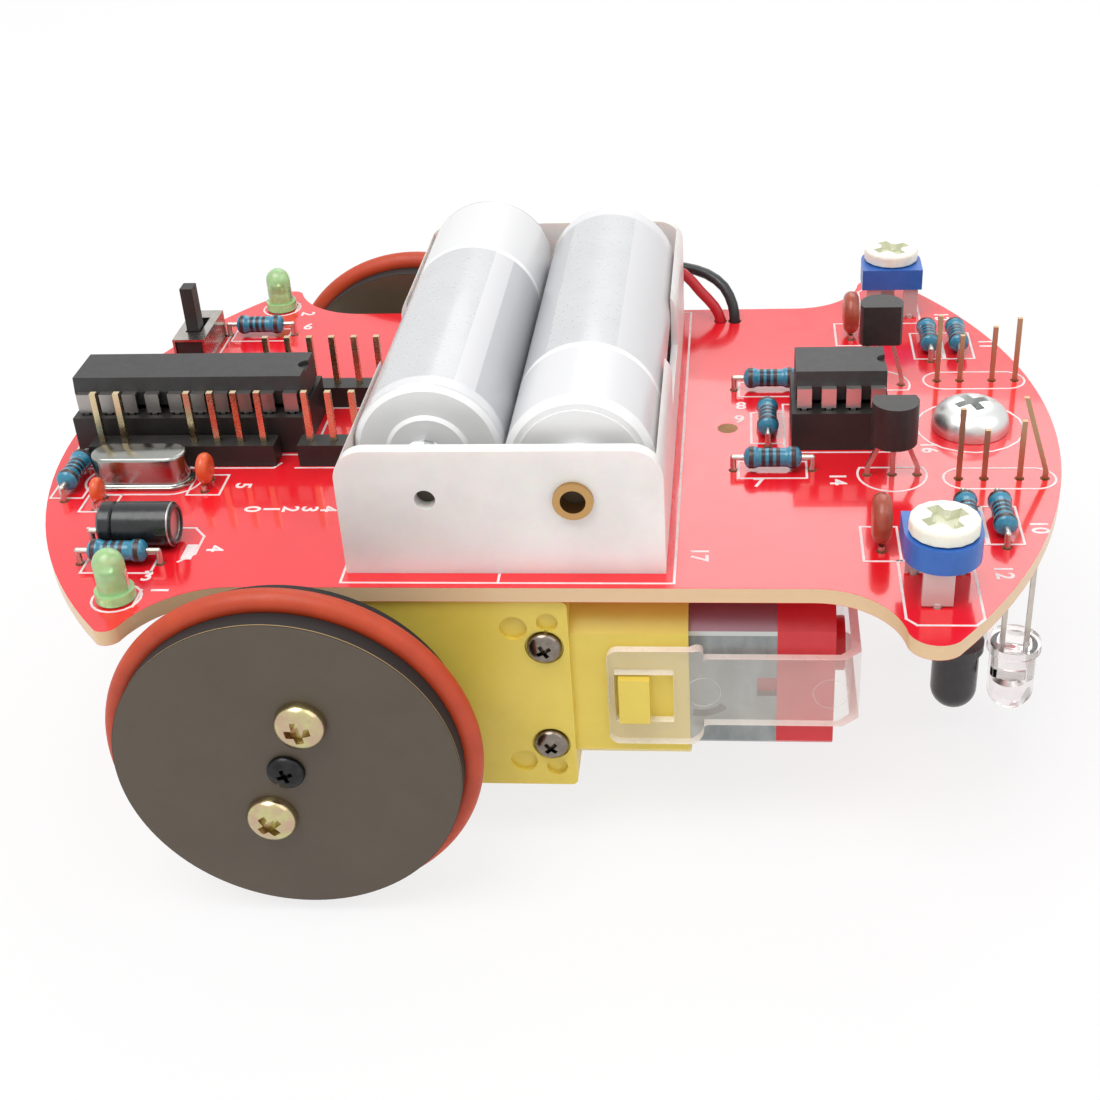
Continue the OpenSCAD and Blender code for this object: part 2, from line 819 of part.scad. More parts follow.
module standing_leads() {
    for (h = crystal_holes) {
        straight([h[0], h[1], -board_t], [h[0], h[1], 0], lead_r);
    }
    for (h = lamp_holes) {
        straight([h[0], h[1], -board_t], [h[0], h[1], lamp_lift], lead_r);
    }
    for (t = transistors_at) {
        for (k = [-1, 0, 1]) {
            x = t[0] + k * pitch;
            square_lead(t[1], [[x, -board_t], [x, splay_z], [t[0] + k * pitch / 2, t[2]]], square_lead_w);
        }
    }
}

// Long sensor leads, left uncut over the board; the last one is bent over
module sensor_leads() {
    tops = [8, 5.6, 6.6, 7.6];
    bent_top = [-2.6, 9.2];
    for (s = [-1, 1]) {
        xs = concat(pair(receiver_x, s * sensor_y, pitch, 0), pair(emitter_x, s * sensor_y, pitch, 0));
        for (i = [0 : 3]) {
            x = xs[i][0];
            upper = s < 0 && i == 3 ? [[x, splay_z], [x + bent_top[0], bent_top[1]]] : [[x, tops[i]]];
            square_lead(s * sensor_y, concat([[x, sensor_top]], upper), square_lead_w);
        }
    }
}

module trimmer_legs() {
    tab_t = 0.5;
    pair_w = 1.7;
    single_w = 2.8;
    for (h = trimmer_holes) {
        w = abs(h[1]) == trimmer_pair_y ? pair_w : single_w;
        translate([h[0] - w / 2, h[1] - tab_t / 2, 0.2]) cube([w, tab_t, trimmer_bottom - 0.2]);
        straight([h[0], h[1], -board_t], [h[0], h[1], 0.4], trimmer_pin_r);
    }
}

module component_leads() {
    color("#b9b4a6") on_board() {
        resistor_leads();
        capacitor_leads();
        standing_leads();
        sensor_leads();
        trimmer_legs();
    }
}

module transistors() {
    color("#2f2d2c") on_board()
        for (t = transistors_at) {
            translate([t[0], t[1], t[2]])
                rotate([0, 0, t[3]])
                    linear_extrude(height = transistor_h)
                        intersection() {
                            circle(r = transistor_r);
                            translate([-transistor_r, -transistor_r])
                                square([2 * transistor_r, transistor_r + transistor_flat]);
                        }
        }
}

module indicator_leds() {
    color("#8fd08a") on_board()
        for (s = [-1, 1]) {
            translate([lamp_x, s * lamp_y, lamp_lift])
                rotate_extrude() lamp_half(lamp_r, 1.9, 1, lamp_h);
        }
}

module sensor_row(x) {
    for (s = [-1, 1]) {
        translate([x, s * sensor_y, sensor_top])
            mirror([0, 0, 1])
                rotate_extrude() lamp_half(sensor_r, sensor_flange_r, 1, sensor_len);
    }
}

module infrared_emitters() {
    color("#eee6e2") on_board() sensor_row(emitter_x);
}

module infrared_receivers() {
    color("#2a2a2c") on_board() sensor_row(receiver_x);
}

// Headers

module header_strips() {
    hole = pin_w + 2 * 0.03;
    color("#232323") on_board()
        difference() {
            for (s = strips) {
                translate([s[0] - pitch / 2, s[1] - pitch / 2, 0]) cube([s[2] * pitch, pitch, strip_h]);
            }
            for (h = header_holes) {
                translate([h[0] - hole / 2, h[1] - hole / 2, -1]) cube([hole, hole, strip_h + 2]);
            }
        }
}

module header_pins() {
    color("#cdbf8e") on_board()
        for (h = header_holes) {
            translate([h[0] - pin_w / 2, h[1] - pin_w / 2, -board_t])
                cube([pin_w, pin_w, board_t + pin_top]);
        }
}

// Slide switch, its lever slides along Y

module switch_body() {
    w = switch_w - 2 * switch_sheet - 2 * fit;
    len = switch_len - 0.4;
    h = switch_h - switch_sheet - fit;
    well = [lever_w + 0.3, lever_len + switch_travel + 0.3, 1.6];
    pin_r = 0.3;
    color("#211f1f") on_board() translate([switch_x, switch_y, 0]) {
        difference() {
            translate([-w / 2, -len / 2, 0]) cube([w, len, h]);
            translate([-well[0] / 2, -well[1] / 2, h - well[2]]) cube(well + [0, 0, 1]);
        }
        for (p = switch_pins) {
            translate([0, p, -board_t]) cylinder(h = board_t + 0.5, r = pin_r, $fn = 20);
        }
    }
}

module switch_frame() {
    slot = [lever_w + 0.4, lever_len + switch_travel + 0.4];
    inner_w = switch_w - 2 * switch_sheet;
    color("#c5c6c4") on_board() translate([switch_x, switch_y, 0])
        difference() {
            translate([-switch_w / 2, -switch_len / 2, 0]) cube([switch_w, switch_len, switch_h]);
            translate([-inner_w / 2, -switch_len, -1])
                cube([inner_w, 2 * switch_len, switch_h - switch_sheet + 1]);
            translate([-slot[0] / 2, -slot[1] / 2, 0]) cube([slot[0], slot[1], switch_h + 1]);
        }
}

module switch_lever() {
    foot_z = 1.7;
    color("#2a2d30") on_board()
        translate([switch_x - lever_w / 2, switch_y - switch_travel / 2 - lever_len / 2, foot_z])
            cube([lever_w, lever_len, lever_top - foot_z]);
}

// Trimmers, their dials turn about the vertical

module trimmer_bodies() {
    color("#3f78bd") on_board()
        for (s = [-1, 1]) {
            translate([trimmer_x, s * trimmer_y, trimmer_bottom])
                linear_extrude(height = trimmer_top - trimmer_bottom)
                    difference() {
                        union() {
                            circle(r = trimmer_r);
                            translate([-trimmer_r, s > 0 ? -trimmer_r : 0])
                                square([2 * trimmer_r, trimmer_r]);
                        }
                        circle(r = dial_spindle_r + shaft_fit);
                    }
        }
}

module trimmer_dial(side) {
    slot = [0.8, 4.2, 0.7];
    rim = 0.3;
    gap = 0.12;
    dial_r = dial_d / 2;
    thick = dial_top - trimmer_top - gap;
    color("#f2eedf") on_board()
        translate([trimmer_x, side * trimmer_y, trimmer_top + gap])
            difference() {
                union() {
                    rotate_extrude()
                        polygon([
                            [0, 0], [dial_r, 0], [dial_r, thick - rim], [dial_r - rim, thick], [0, thick]
                        ]);
                    translate([0, 0, -1.8]) cylinder(h = 2, r = dial_spindle_r);
                }
                for (turn = [30, 120]) {
                    rotate([0, 0, turn])
                        translate([-slot[0] / 2, -slot[1] / 2, thick - slot[2]])
                            cube(slot + [0, 0, 1]);
                }
            }
}

// Battery bay

module holder_outline() {
    h = holder_h;
    half = holder_w / 2;
    translate([-half, 0]) square([holder_w, h - holder_corner_r]);
    translate([holder_corner_r - half, 0]) square([holder_w - 2 * holder_corner_r, h]);
    for (s = [-1, 1]) {
        translate([s * (half - holder_corner_r), h - holder_corner_r]) circle(r = holder_corner_r);
    }
}

module battery_holder() {
    inner_w = holder_w - 2 * holder_side_t;
    dimple_r = 1;
    color("#f1eeea") on_board() translate([holder_x, 0, 0])
        difference() {
            slab(-holder_len / 2, holder_len / 2) holder_outline();
            translate([-inner_w / 2, -bay_half, holder_floor]) cube([inner_w, 2 * bay_half, 2 * holder_h]);
            translate([-holder_w, -holder_gap_half, holder_gap_z])
                cube([2 * holder_w, 2 * holder_gap_half, holder_h]);
            for (s = [-1, 1]) {
                translate([s * rivet_step / 2, 0, rivet_z]) {
                    rod(bay_half - 1, holder_len, rivet_r - 0.6 + fit);
                    rod(-holder_len, 1 - bay_half, s > 0 ? eyelet_r + fit : dimple_r);
                }
            }
        }
}

// Conical springs: three turns that close towards the cell
function spring_point(t) =
    let (r = spring_big_r + (spring_small_r - spring_big_r) * t, a = 360 * spring_turns * t)
    [r * cos(a), r * sin(a), spring_wire_r - spring_sink + spring_rise * t];

module battery_springs() {
    route = [for (i = [0 : spring_rings]) spring_point(i / spring_rings)];
    color("silver") on_board() translate([holder_x, 0, cell_z]) {
        translate([-cell_step / 2, -contact_face, 0])
            rotate([-90, 0, 0]) tube(route, spring_wire_r, spring_sides);
        translate([cell_step / 2, contact_face, 0])
            rotate([90, 0, 0]) tube(route, spring_wire_r, spring_sides);
    }
}

module battery_contacts() {
    half = contact_half;
    low = cell_z - half;
    tall = contact_top - low;
    inner_r = eyelet_r - 0.3;
    out = holder_len / 2;
    color("#c9a65c") on_board() translate([holder_x, 0, 0]) {
        difference() {
            union() {
                translate([-cell_step / 2 - half, -bay_half, low])
                    cube([cell_step + 2 * half, contact_t, tall]);
                translate([rivet_step / 2, 0, rivet_z]) {
                    rod(-out, 0.1 - bay_half, eyelet_r);
                    rod(-out - rivet_h, -out, eyelet_flange_r);
                }
            }
            translate([rivet_step / 2, 0, rivet_z]) rod(-out - 1, -bay_half, inner_r);
        }
        for (s = [-1, 1]) {
            translate([s * cell_step / 2 - half, contact_face, low]) cube([2 * half, contact_t, tall]);
            translate([s * rivet_step / 2, 0, rivet_z]) {
                rod(bay_half - 0.1, out + 0.1, rivet_r - 0.6);
                rod(out, out + rivet_h, rivet_r);
            }
        }
    }
}

// A cell lies along Y; its button points to the near end or the far end
module cell(side, toward) {
    button_r = 2.7;
    button_h = 1.1;
    plate_r = 4.1;
    plate_h = 0.35;
    rim = 0.6;
    color("#8d9093") on_board()
        translate([holder_x + side * cell_step / 2, toward * (contact_face - fit), cell_z])
            rotate([toward * 90, 0, 0])
                rotate_extrude()
                    polygon([
                        [0, 0], [button_r, 0], [button_r, button_h], [cell_r - 2 * rim, button_h],
                        [cell_r - 2 * rim, button_h + 0.2], [cell_r - rim, button_h + 0.2],
                        [cell_r, button_h + 0.2 + rim], [cell_r, cell_len - plate_h - rim],
                        [cell_r - rim, cell_len - plate_h], [plate_r, cell_len - plate_h],
                        [plate_r - plate_h, cell_len], [0, cell_len]
                    ]);
}

module front_cell() {
    cell(1, -1);
}

module rear_cell() {
    cell(-1, 1);
}

module red_lead() {
    color("#c22a30") on_board()
        tube(lead_route(red_start, red_bends, red_hole, red_drop), wire_r, wire_sides);
}

module black_lead() {
    color("#26292b") on_board()
        tube(lead_route(black_start, black_bends, black_hole, black_drop), wire_r, wire_sides);
}

// Caster: a screw through the board with a lock nut under it and a dome nut that slides on the floor

module caster_screw() {
    end_z = cap_h - 0.2 - (cap_h - cap_depth);
    tip = cap_h - end_z;
    recess_r = 1.9;
    color("#d3d3cf") translate([caster_x, 0, 0])
        difference() {
            union() {
                translate([0, 0, tip]) cylinder(h = board_top - tip + 0.1, r = caster_r - fit);
                translate([0, 0, board_top])
                    rotate_extrude()
                        polygon(concat(
                            [[0, caster_head_h], [0, 0], [caster_head_d / 2, 0]],
                            [for (a = [0 : 15 : 75]) [
                                caster_head_d / 2 * pow(cos(a), 0.7), caster_head_h * (0.25 + 0.75 * sin(a))
                            ]]
                        ));
            }
            for (turn = [20, 110]) {
                translate([0, 0, board_top + caster_head_h - 1.4])
                    rotate([0, 0, turn])
                        translate([-0.55, -recess_r, 0]) cube([1.1, 2 * recess_r, 2]);
            }
        }
}

module caster_nut() {
    color("#c6c7c5") translate([caster_x, 0, board_top - board_t - nut_h])
        difference() {
            cylinder(h = nut_h, r = nut_flats_r, $fn = 6);
            translate([0, 0, -1]) cylinder(h = nut_h + 2, r = caster_r);
        }
}

module caster_cap_nut() {
    color("#d8d8d4") translate([caster_x, 0, 0])
        difference() {
            union() {
                translate([0, 0, cap_h - cap_hex_h]) cylinder(h = cap_hex_h, r = nut_flats_r, $fn = 6);
                rotate_extrude()
                    intersection() {
                        union() {
                            translate([0, cap_dome_r]) circle(r = cap_dome_r);
                            translate([0, cap_dome_r])
                                square([cap_dome_r, cap_h - cap_hex_h - cap_dome_r + 0.5]);
                        }
                        square([cap_dome_r, cap_h]);
                    }
            }
            translate([0, 0, cap_h - cap_depth]) cylinder(h = cap_depth + 1, r = caster_r);
        }
}

// Motors and gearboxes

module motor_pads() {
    len = 30;
    w = box_w - 0.6;
    color("#ece8dc")
        for (s = [-1, 1]) {
            drive(s)
                translate([box_rear + 2, -w / 2, box_h / 2]) cube([len, w, pad_t]);
        }
}

// Section of a motor can, grown by a margin
module can_section(grow) {
    intersection() {
        circle(r = can_d / 2 + grow);
        square([can_flat + 2 * grow, can_d + 2 * grow + 1], center = true);
    }
}

module gearbox_outside() {
    slab(-half_w, half_w)
        rounded_rect(box_rear, box_front, -box_h / 2, box_h / 2, box_corner_r);
    bar_x(box_front - 1, sleeve_front) can_section(sleeve_wall);
    slab(-ear_half_t, ear_half_t)
        translate([box_rear - ear_len, -ear_half_h]) square([ear_len + 1, 2 * ear_half_h]);
    for (s = [-1, 1]) {
        face = can_flat / 2 + sleeve_wall;
        translate([hook_x[0], s * (face + 0.6) - 1, -hook_half_h])
            cube([hook_x[1] - hook_x[0], 2, 2 * hook_half_h]);
    }
}

module gearbox_hollow() {
    difference() {
        slab(-cavity_half, cavity_half)
            translate([box_rear + box_wall, box_wall - box_h / 2])
                square([box_front - box_rear - 2 * box_wall, box_h - 2 * box_wall]);
        for (p = screw_posts) {
            translate([p[0], 0, p[1]]) rod(-half_w, half_w, p[2]);
        }
        rod(cavity_half - 1.4, half_w, journal_r + 1.5);
    }
    bar_x(can_x[0] - 0.25, sleeve_front + 1) can_section(fit);
    bar_x(box_front - box_wall - 0.5, can_x[0]) circle(r = front_boss_r + fit);
}

module gearbox_bores() {
    socket_y = cavity_half + pin_socket;
    rod(0, half_w + 1, journal_r + shaft_fit);
    rod(-socket_y, 0, spindle_r + fit);
    for (x = [middle_x, crown_x]) {
        translate([x, 0, 0]) rod(-socket_y, socket_y, gear_pin_r + 0.02);
    }
    for (p = screw_posts) {
        translate([p[0], 0, p[1]]) {
            rod(-cavity_half, half_w + 1, screw_r + fit);
            rod(half_w - screw_sink, half_w + 1, screw_head_r + 0.2);
        }
    }
    for (p = [screw_posts[0], screw_posts[1]]) {
        for (m = mould_marks) {
            translate([p[0] + m[0], 0, p[1] + sign(p[1]) * m[1]])
                rod(half_w - mould_mark_depth, half_w + 1, m[2]);
        }
    }
    translate([box_rear - ear_len / 2, 0, 0]) rod(-half_w, half_w, ear_hole_r);
}

module gearbox_half(outer) {
    reach = 200;
    intersection() {
        difference() {
            gearbox_outside();
            gearbox_hollow();
            gearbox_bores();
        }
        translate([-reach / 2, outer ? 0 : -reach, -reach / 2]) cube(reach);
    }
}

module gearbox_covers() {
    color("#e0cb62")
        for (s = [-1, 1]) {
            drive(s) gearbox_half(true);
        }
}

module gearbox_bases() {
    color("#e0cb62")
        for (s = [-1, 1]) {
            drive(s) gearbox_half(false);
        }
}

module gearbox_screws() {
    head_y = half_w - screw_sink;
    color("#c4c2bb")
        for (s = [-1, 1]) {
            drive(s)
                for (p = screw_posts) {
                    translate([p[0], 0, p[1]]) {
                        pan_head(head_y, screw_head_r, screw_head_h, 35);
                        rod(1 - cavity_half, head_y + 0.1, screw_r);
                    }
                }
        }
}

module gear_pins() {
    end_y = cavity_half + pin_socket - 0.1;
    color("silver")
        for (s = [-1, 1]) {
            drive(s)
                for (x = [middle_x, crown_x]) {
                    translate([x, 0, 0]) rod(-end_y, end_y, gear_pin_r);
                }
        }
}

// Path of the clear strap in x and y from the hook round the motor's end, moved outward by a distance
function strap_side(out) =
    let (wide = can_flat / 2 + sleeve_wall + fit + out, near = can_flat / 2 + 0.1 + out, lean = 0.4 * out)
    [
        [strap_x, wide], [sleeve_front + 0.1 + lean, wide], [sleeve_front + 1.4 + lean, near],
        [strap_end_x - 1.1 + lean, near], [strap_end_x + out, near - 1.1 - lean]
    ];

module strap_loop(out) {
    side = strap_side(out);
    polygon(concat(side, [for (i = [len(side) - 1 : -1 : 0]) [side[i][0], -side[i][1]]]));
}

// The strap seen from its side: a wide head with round corners, its window and a narrower arm
module strap_face() {
    difference() {
        union() {
            rounded_rect(strap_x, strap_wide_x, -strap_wide, strap_wide, strap_corner_r);
            translate([strap_wide_x - strap_corner_r, -strap_narrow]) square([can_d, 2 * strap_narrow]);
        }
        translate([strap_window_x[0], -strap_window_half])
            square([strap_window_x[1] - strap_window_x[0], 2 * strap_window_half]);
    }
}

module motor_straps() {
    color([0.9, 0.9, 0.86, 0.6])
        for (s = [-1, 1]) {
            drive(s)
                intersection() {
                    translate([0, 0, -strap_wide])
                        linear_extrude(height = 2 * strap_wide)
                            difference() {
                                strap_loop(strap_t);
                                strap_loop(0);
                                translate([0, -can_flat]) square([strap_x + 0.01, 2 * can_flat]);
                            }
                    slab(-can_d, can_d) strap_face();
                }
        }
}

module motor_end_caps() {
    plug = 2;
    color("#d8363a")
        for (s = [-1, 1]) {
            drive(s)
                difference() {
                    union() {
                        bar_x(can_x[1], cap_x) can_section(0);
                        bar_x(can_x[1] - plug, can_x[1] + 0.1) can_section(-can_wall - fit);
                        bar_x(cap_x - 0.1, rear_boss_x) circle(r = rear_boss_r);
                    }
                    bar_x(can_x[0], rear_boss_x + 1) circle(r = motor_shaft_r + shaft_fit);
                }
        }
}

module motor_cans() {
    notch = [1.9, 2, 2.2];
    color("#aeb0b0")
        for (s = [-1, 1]) {
            drive(s) {
                difference() {
                    union() {
                        bar_x(can_x[0], can_x[1]) can_section(0);
                        bar_x(front_boss_x, can_x[0] + 0.1) circle(r = front_boss_r);
                    }
                    bar_x(can_x[0] + can_wall, can_x[1] + 1) can_section(-can_wall);
                    bar_x(front_boss_x - 1, can_x[1]) circle(r = motor_shaft_r + shaft_fit);
                    translate([can_x[1] - notch[0], can_flat / 2 - notch[1] / 2, -notch[2] / 2])
                        cube(notch + [1, 0, 0]);
                }
                field_magnets();
            }
        }
}

// Two arched magnets inside a can, over and under the armature
module field_magnets() {
    magnet_half_w = 6.2;
    for (t = [0, 1]) {
        mirror([0, 0, t])
            bar_x(magnet_x[0], magnet_x[1])
                intersection() {
                    difference() {
                        circle(r = can_d / 2 - can_wall - fit);
                        circle(r = armature_r + 0.5);
                    }
                    translate([-magnet_half_w, 1]) square([2 * magnet_half_w, can_d]);
                }
    }
}

// Gear train: each piece turns about Y, the rotor about X

module motor_rotor(side) {
    slots = 3;
    slot = [3.2, 1.4];
    commutator_x = [41.3, 43.2];
    color("#8e6f4e")
        drive(side) {
            bar_x(crown_x + 4.8, rear_boss_x - 0.4) circle(r = motor_shaft_r);
            bar_x(crown_x + crown_tooth_x[0] + 0.05, crown_x + crown_tooth_x[1] - 0.05)
                rotate(180 + 180 / motor_teeth) gear(motor_teeth, 0.28, motor_backlash);
            bar_x(armature_x[0], armature_x[1])
                difference() {
                    circle(r = armature_r);
                    for (k = [0 : slots - 1]) {
                        rotate(360 * k / slots)
                            translate([armature_r - slot[0], -slot[1] / 2]) square([slot[0] + 1, slot[1]]);
                    }
                }
            bar_x(commutator_x[0], commutator_x[1]) circle(r = 2.4);
        }
}

module crown_gear(side) {
    tooth_tall = crown_tip - crown_face;
    spread = tan(pressure);
    tip_half = crown_tooth_half - (crown_tip + motor_pitch_r) * spread;
    foot_half = tip_half + (tooth_tall + 0.2) * spread;
    hub_out = 3.6;
    disc_back = crown_face - 1.4;
    color("#e9e5d8")
        drive(side) translate([crown_x, 0, 0])
            difference() {
                union() {
                    rod(disc_back, crown_face, crown_tooth_x[1] + 0.1);
                    for (k = [0 : crown_teeth - 1]) {
                        rotate([0, -360 * k / crown_teeth, 0])
                            bar_x(crown_tooth_x[0], crown_tooth_x[1])
                                polygon([
                                    [crown_face - 0.2, -foot_half], [crown_tip, -tip_half],
                                    [crown_tip, tip_half], [crown_face - 0.2, foot_half]
                                ]);
                    }
                    slab(crown_face - 0.1, hub_out) gear(pinion_teeth, 0.34, backlash);
                    rod(0.2 - cavity_half, disc_back + 0.1, 1.5);
                    rod(hub_out - 0.1, cavity_half - 0.2, 1.15);
                }
                rod(-half_w, half_w, gear_pin_r + fit);
            }
}

module middle_gear(side) {
    wheel_y = [0.6, 3];
    hub_out = 6.6;
    color("#f0ede4")
        drive(side) translate([middle_x, 0, 0])
            difference() {
                union() {
                    slab(wheel_y[0], wheel_y[1]) gear(wheel_teeth, 0.3, backlash);
                    slab(wheel_y[1] - 0.1, hub_out) gear(pinion_teeth, 0.34, backlash);
                    rod(0.2 - cavity_half, wheel_y[0] + 0.1, 1.5);
                    rod(hub_out - 0.1, cavity_half - 0.2, 1.15);
                }
                rod(-half_w, half_w, gear_pin_r + fit);
            }
}

// Section of the shaft's flattened end, grown by a margin
module shaft_section(grow) {
    intersection() {
        circle(r = journal_r + grow);
        square([2 * (journal_r + grow) + 1, 2 * (shaft_flat + grow)], center = true);
    }
}

module output_shaft(side) {
    wheel_y = [3.6, 6.2];
    color("#efe9da")
        drive(side)
            difference() {
                union() {
                    slab(wheel_y[0], wheel_y[1]) gear(wheel_teeth, 0.3, backlash);
                    rod(wheel_y[1] - 0.1, half_w + 0.4, journal_r);
                    slab(half_w + 0.3, shaft_end) shaft_section(0);
                    rod(0.1 - cavity_half - pin_socket, wheel_y[0] + 0.1, spindle_r);
                }
                rod(shaft_end - axle_screw_len, shaft_end + 1, axle_screw_r + fit);
            }
}

// Wheels

module bolt_holes() {
    for (turn = bolt_turns) {
        rotate(turn) translate([bolt_ring_r, 0]) circle(r = bolt_r + fit);
    }
}

module outer_disc(side) {
    color("#6b5d4d") drive(side)
        slab(disc_out, face_out)
            difference() {
                circle(r = disc_r, $fn = 96);
                circle(r = axle_screw_r + fit);
                bolt_holes();
            }
}

module core_disc(side) {
    color("#26231f") drive(side)
        slab(core_in, disc_out)
            difference() {
                circle(r = core_r, $fn = 96);
                shaft_section(fit);
                bolt_holes();
            }
}

module inner_disc(side) {
    color("#6b5d4d") drive(side)
        slab(disc_in, core_in)
            difference() {
                circle(r = disc_r, $fn = 96);
                shaft_section(fit);
                bolt_holes();
            }
}

module tyre(side) {
    color("#d9502f") drive(side)
        translate([0, (core_in + disc_out) / 2, 0])
            rotate([90, 0, 0])
                rotate_extrude($fn = 96)
                    translate([tyre_ring_r, 0]) circle(r = tyre_r);
}

// A pan head with a cross recess, its underside at y
module pan_head(y, r, h, turn) {
    recess = [0.6, 0.9, 1.25 * r];
    difference() {
        translate([0, y, 0])
            rotate([-90, 0, 0])
                rotate_extrude()
                    polygon(concat(
                        [[0, h], [0, 0], [r, 0]],
                        [for (a = [0 : 15 : 75]) [r * cos(a), h * (0.3 + 0.7 * sin(a))]]
                    ));
        for (a = [turn, turn + 90]) {
            rotate([0, a, 0])
                translate([-recess[0] / 2, y + h - recess[1], -recess[2] / 2]) cube(recess + [0, 1, 0]);
        }
    }
}

module wheel_bolts(side) {
    color("#cfc08a") drive(side)
        for (turn = bolt_turns) {
            rotate([0, -turn, 0])
                translate([bolt_ring_r, 0, 0]) {
                    pan_head(face_out, bolt_head_r, bolt_head_h, turn);
                    rod(disc_in - bolt_nut_h - 0.2, face_out + 0.1, bolt_r);
                    difference() {
                        translate([0, disc_in, 0])
                            rotate([90, 0, 0]) cylinder(h = bolt_nut_h, r = bolt_nut_r, $fn = 6);
                        rod(disc_in - bolt_nut_h - 1, disc_in + 1, bolt_r + fit);
                    }
                }
        }
}

module axle_screw(side) {
    color("#2b2a28") drive(side) {
        pan_head(face_out, axle_head_r, axle_head_h, 20);
        rod(shaft_end - axle_screw_len + 0.5, face_out + 0.1, axle_screw_r);
    }
}

main_board();
solder_joints();
chip_sockets();
microcontroller();
comparator();
crystal();
ceramic_capacitors();
electrolytic_capacitor();
resistors();
component_leads();
transistors();
indicator_leds();
infrared_emitters();
infrared_receivers();
header_strips();
header_pins();
switch_body();
switch_frame();
switch_lever();
trimmer_bodies();
trimmer_dial(1);  // left_trimmer_dial
trimmer_dial(-1);  // right_trimmer_dial
battery_holder();
battery_springs();
battery_contacts();
front_cell();
rear_cell();
red_lead();
black_lead();
caster_screw();
caster_nut();
caster_cap_nut();
motor_pads();
gearbox_screws();
gear_pins();
motor_straps();
motor_end_caps();
motor_cans();
gearbox_covers();
gearbox_bases();
output_shaft(1);  // left_output_shaft
middle_gear(1);  // left_middle_gear
crown_gear(1);  // left_crown_gear
motor_rotor(1);  // left_motor_rotor
outer_disc(1);  // left_outer_disc
core_disc(1);  // left_core_disc
inner_disc(1);  // left_inner_disc
tyre(1);  // left_tyre
wheel_bolts(1);  // left_wheel_bolts
axle_screw(1);  // left_axle_screw
output_shaft(-1);  // right_output_shaft
middle_gear(-1);  // right_middle_gear
crown_gear(-1);  // right_crown_gear
motor_rotor(-1);  // right_motor_rotor
outer_disc(-1);  // right_outer_disc
core_disc(-1);  // right_core_disc
inner_disc(-1);  // right_inner_disc
tyre(-1);  // right_tyre
wheel_bolts(-1);  // right_wheel_bolts
axle_screw(-1);  // right_axle_screw
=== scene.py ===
import logging
import math
from dataclasses import dataclass
from enum import Enum
from typing import Any, ClassVar, Optional, Sequence

import bmesh
import bpy
from mathutils import Matrix, Vector


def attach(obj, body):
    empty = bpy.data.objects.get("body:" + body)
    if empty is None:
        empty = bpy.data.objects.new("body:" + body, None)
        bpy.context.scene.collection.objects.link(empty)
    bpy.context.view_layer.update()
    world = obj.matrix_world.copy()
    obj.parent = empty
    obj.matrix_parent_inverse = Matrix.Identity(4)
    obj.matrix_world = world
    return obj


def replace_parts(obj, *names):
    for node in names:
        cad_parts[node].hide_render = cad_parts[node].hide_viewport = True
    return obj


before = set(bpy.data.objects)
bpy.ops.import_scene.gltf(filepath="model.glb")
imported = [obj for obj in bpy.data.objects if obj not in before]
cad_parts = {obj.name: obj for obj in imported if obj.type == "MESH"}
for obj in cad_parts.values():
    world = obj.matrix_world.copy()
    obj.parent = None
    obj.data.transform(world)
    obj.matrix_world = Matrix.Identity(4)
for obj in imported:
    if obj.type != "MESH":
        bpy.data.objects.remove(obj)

LOG = logging.getLogger("line_follower")
MM = 0.001
CHASSIS = "chassis"
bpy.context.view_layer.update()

# Heights and places shared with the part's source, in millimetres
BOARD_TOP = 31.22
BOARD_T = 1.6
AXLE_X = -21.6
AXLE_Z = 18.12
BAY_HALF = 27.5

# Faces that meet at less than this angle are shaded as one, and points closer than this are merged
SMOOTH_BELOW = math.radians(38)
SAME_POINT = 1e-6

# Noise that mottles and grains every finish, and the stretch of it that is used
MOTTLE = {"Detail": 4.0, "Roughness": 0.6}
MOTTLE_RANGE = {"From Min": 0.36, "From Max": 0.64}
GRAIN = {"Detail": 3.0, "Roughness": 0.55}
GRAIN_RANGE = {"From Min": 0.3, "From Max": 0.7}
LEAST_ROUGHNESS = 0.02

# Numbers of the mix node's sockets, which share their names
FACTOR, FLOAT_A, FLOAT_B, COLOUR_A, COLOUR_B, COLOUR_OUT = 0, 2, 3, 6, 7, 2

Point = tuple[float, float, float]
Pair = tuple[float, float]
Socket = bpy.types.NodeSocket
Tree = bpy.types.NodeTree
Mesh = bmesh.types.BMesh
Face = bmesh.types.BMFace


def linear(code: str) -> tuple[float, float, float, float]:
    """Turns an sRGB hex colour into linear light.

    Args:
        code: The colour as six hex digits after a hash sign.

    Returns:
        Red, green, blue and a full alpha, as the shader sockets take them.
    """
    parts = [int(code[i:i + 2], 16) / 255 for i in (1, 3, 5)]
    light = [p / 12.92 if p <= 0.04045 else ((p + 0.055) / 1.055) ** 2.4 for p in parts]
    return (light[0], light[1], light[2], 1.0)


def at(x: float, y: float, z: float) -> Matrix:
    """Gives a frame moved to a place in millimetres."""
    return Matrix.Translation(Vector((x, y, z)) * MM)


def turned(degrees: float, axis: str = "Z") -> Matrix:
    """Gives a frame turned about an axis."""
    return Matrix.Rotation(math.radians(degrees), 4, axis)


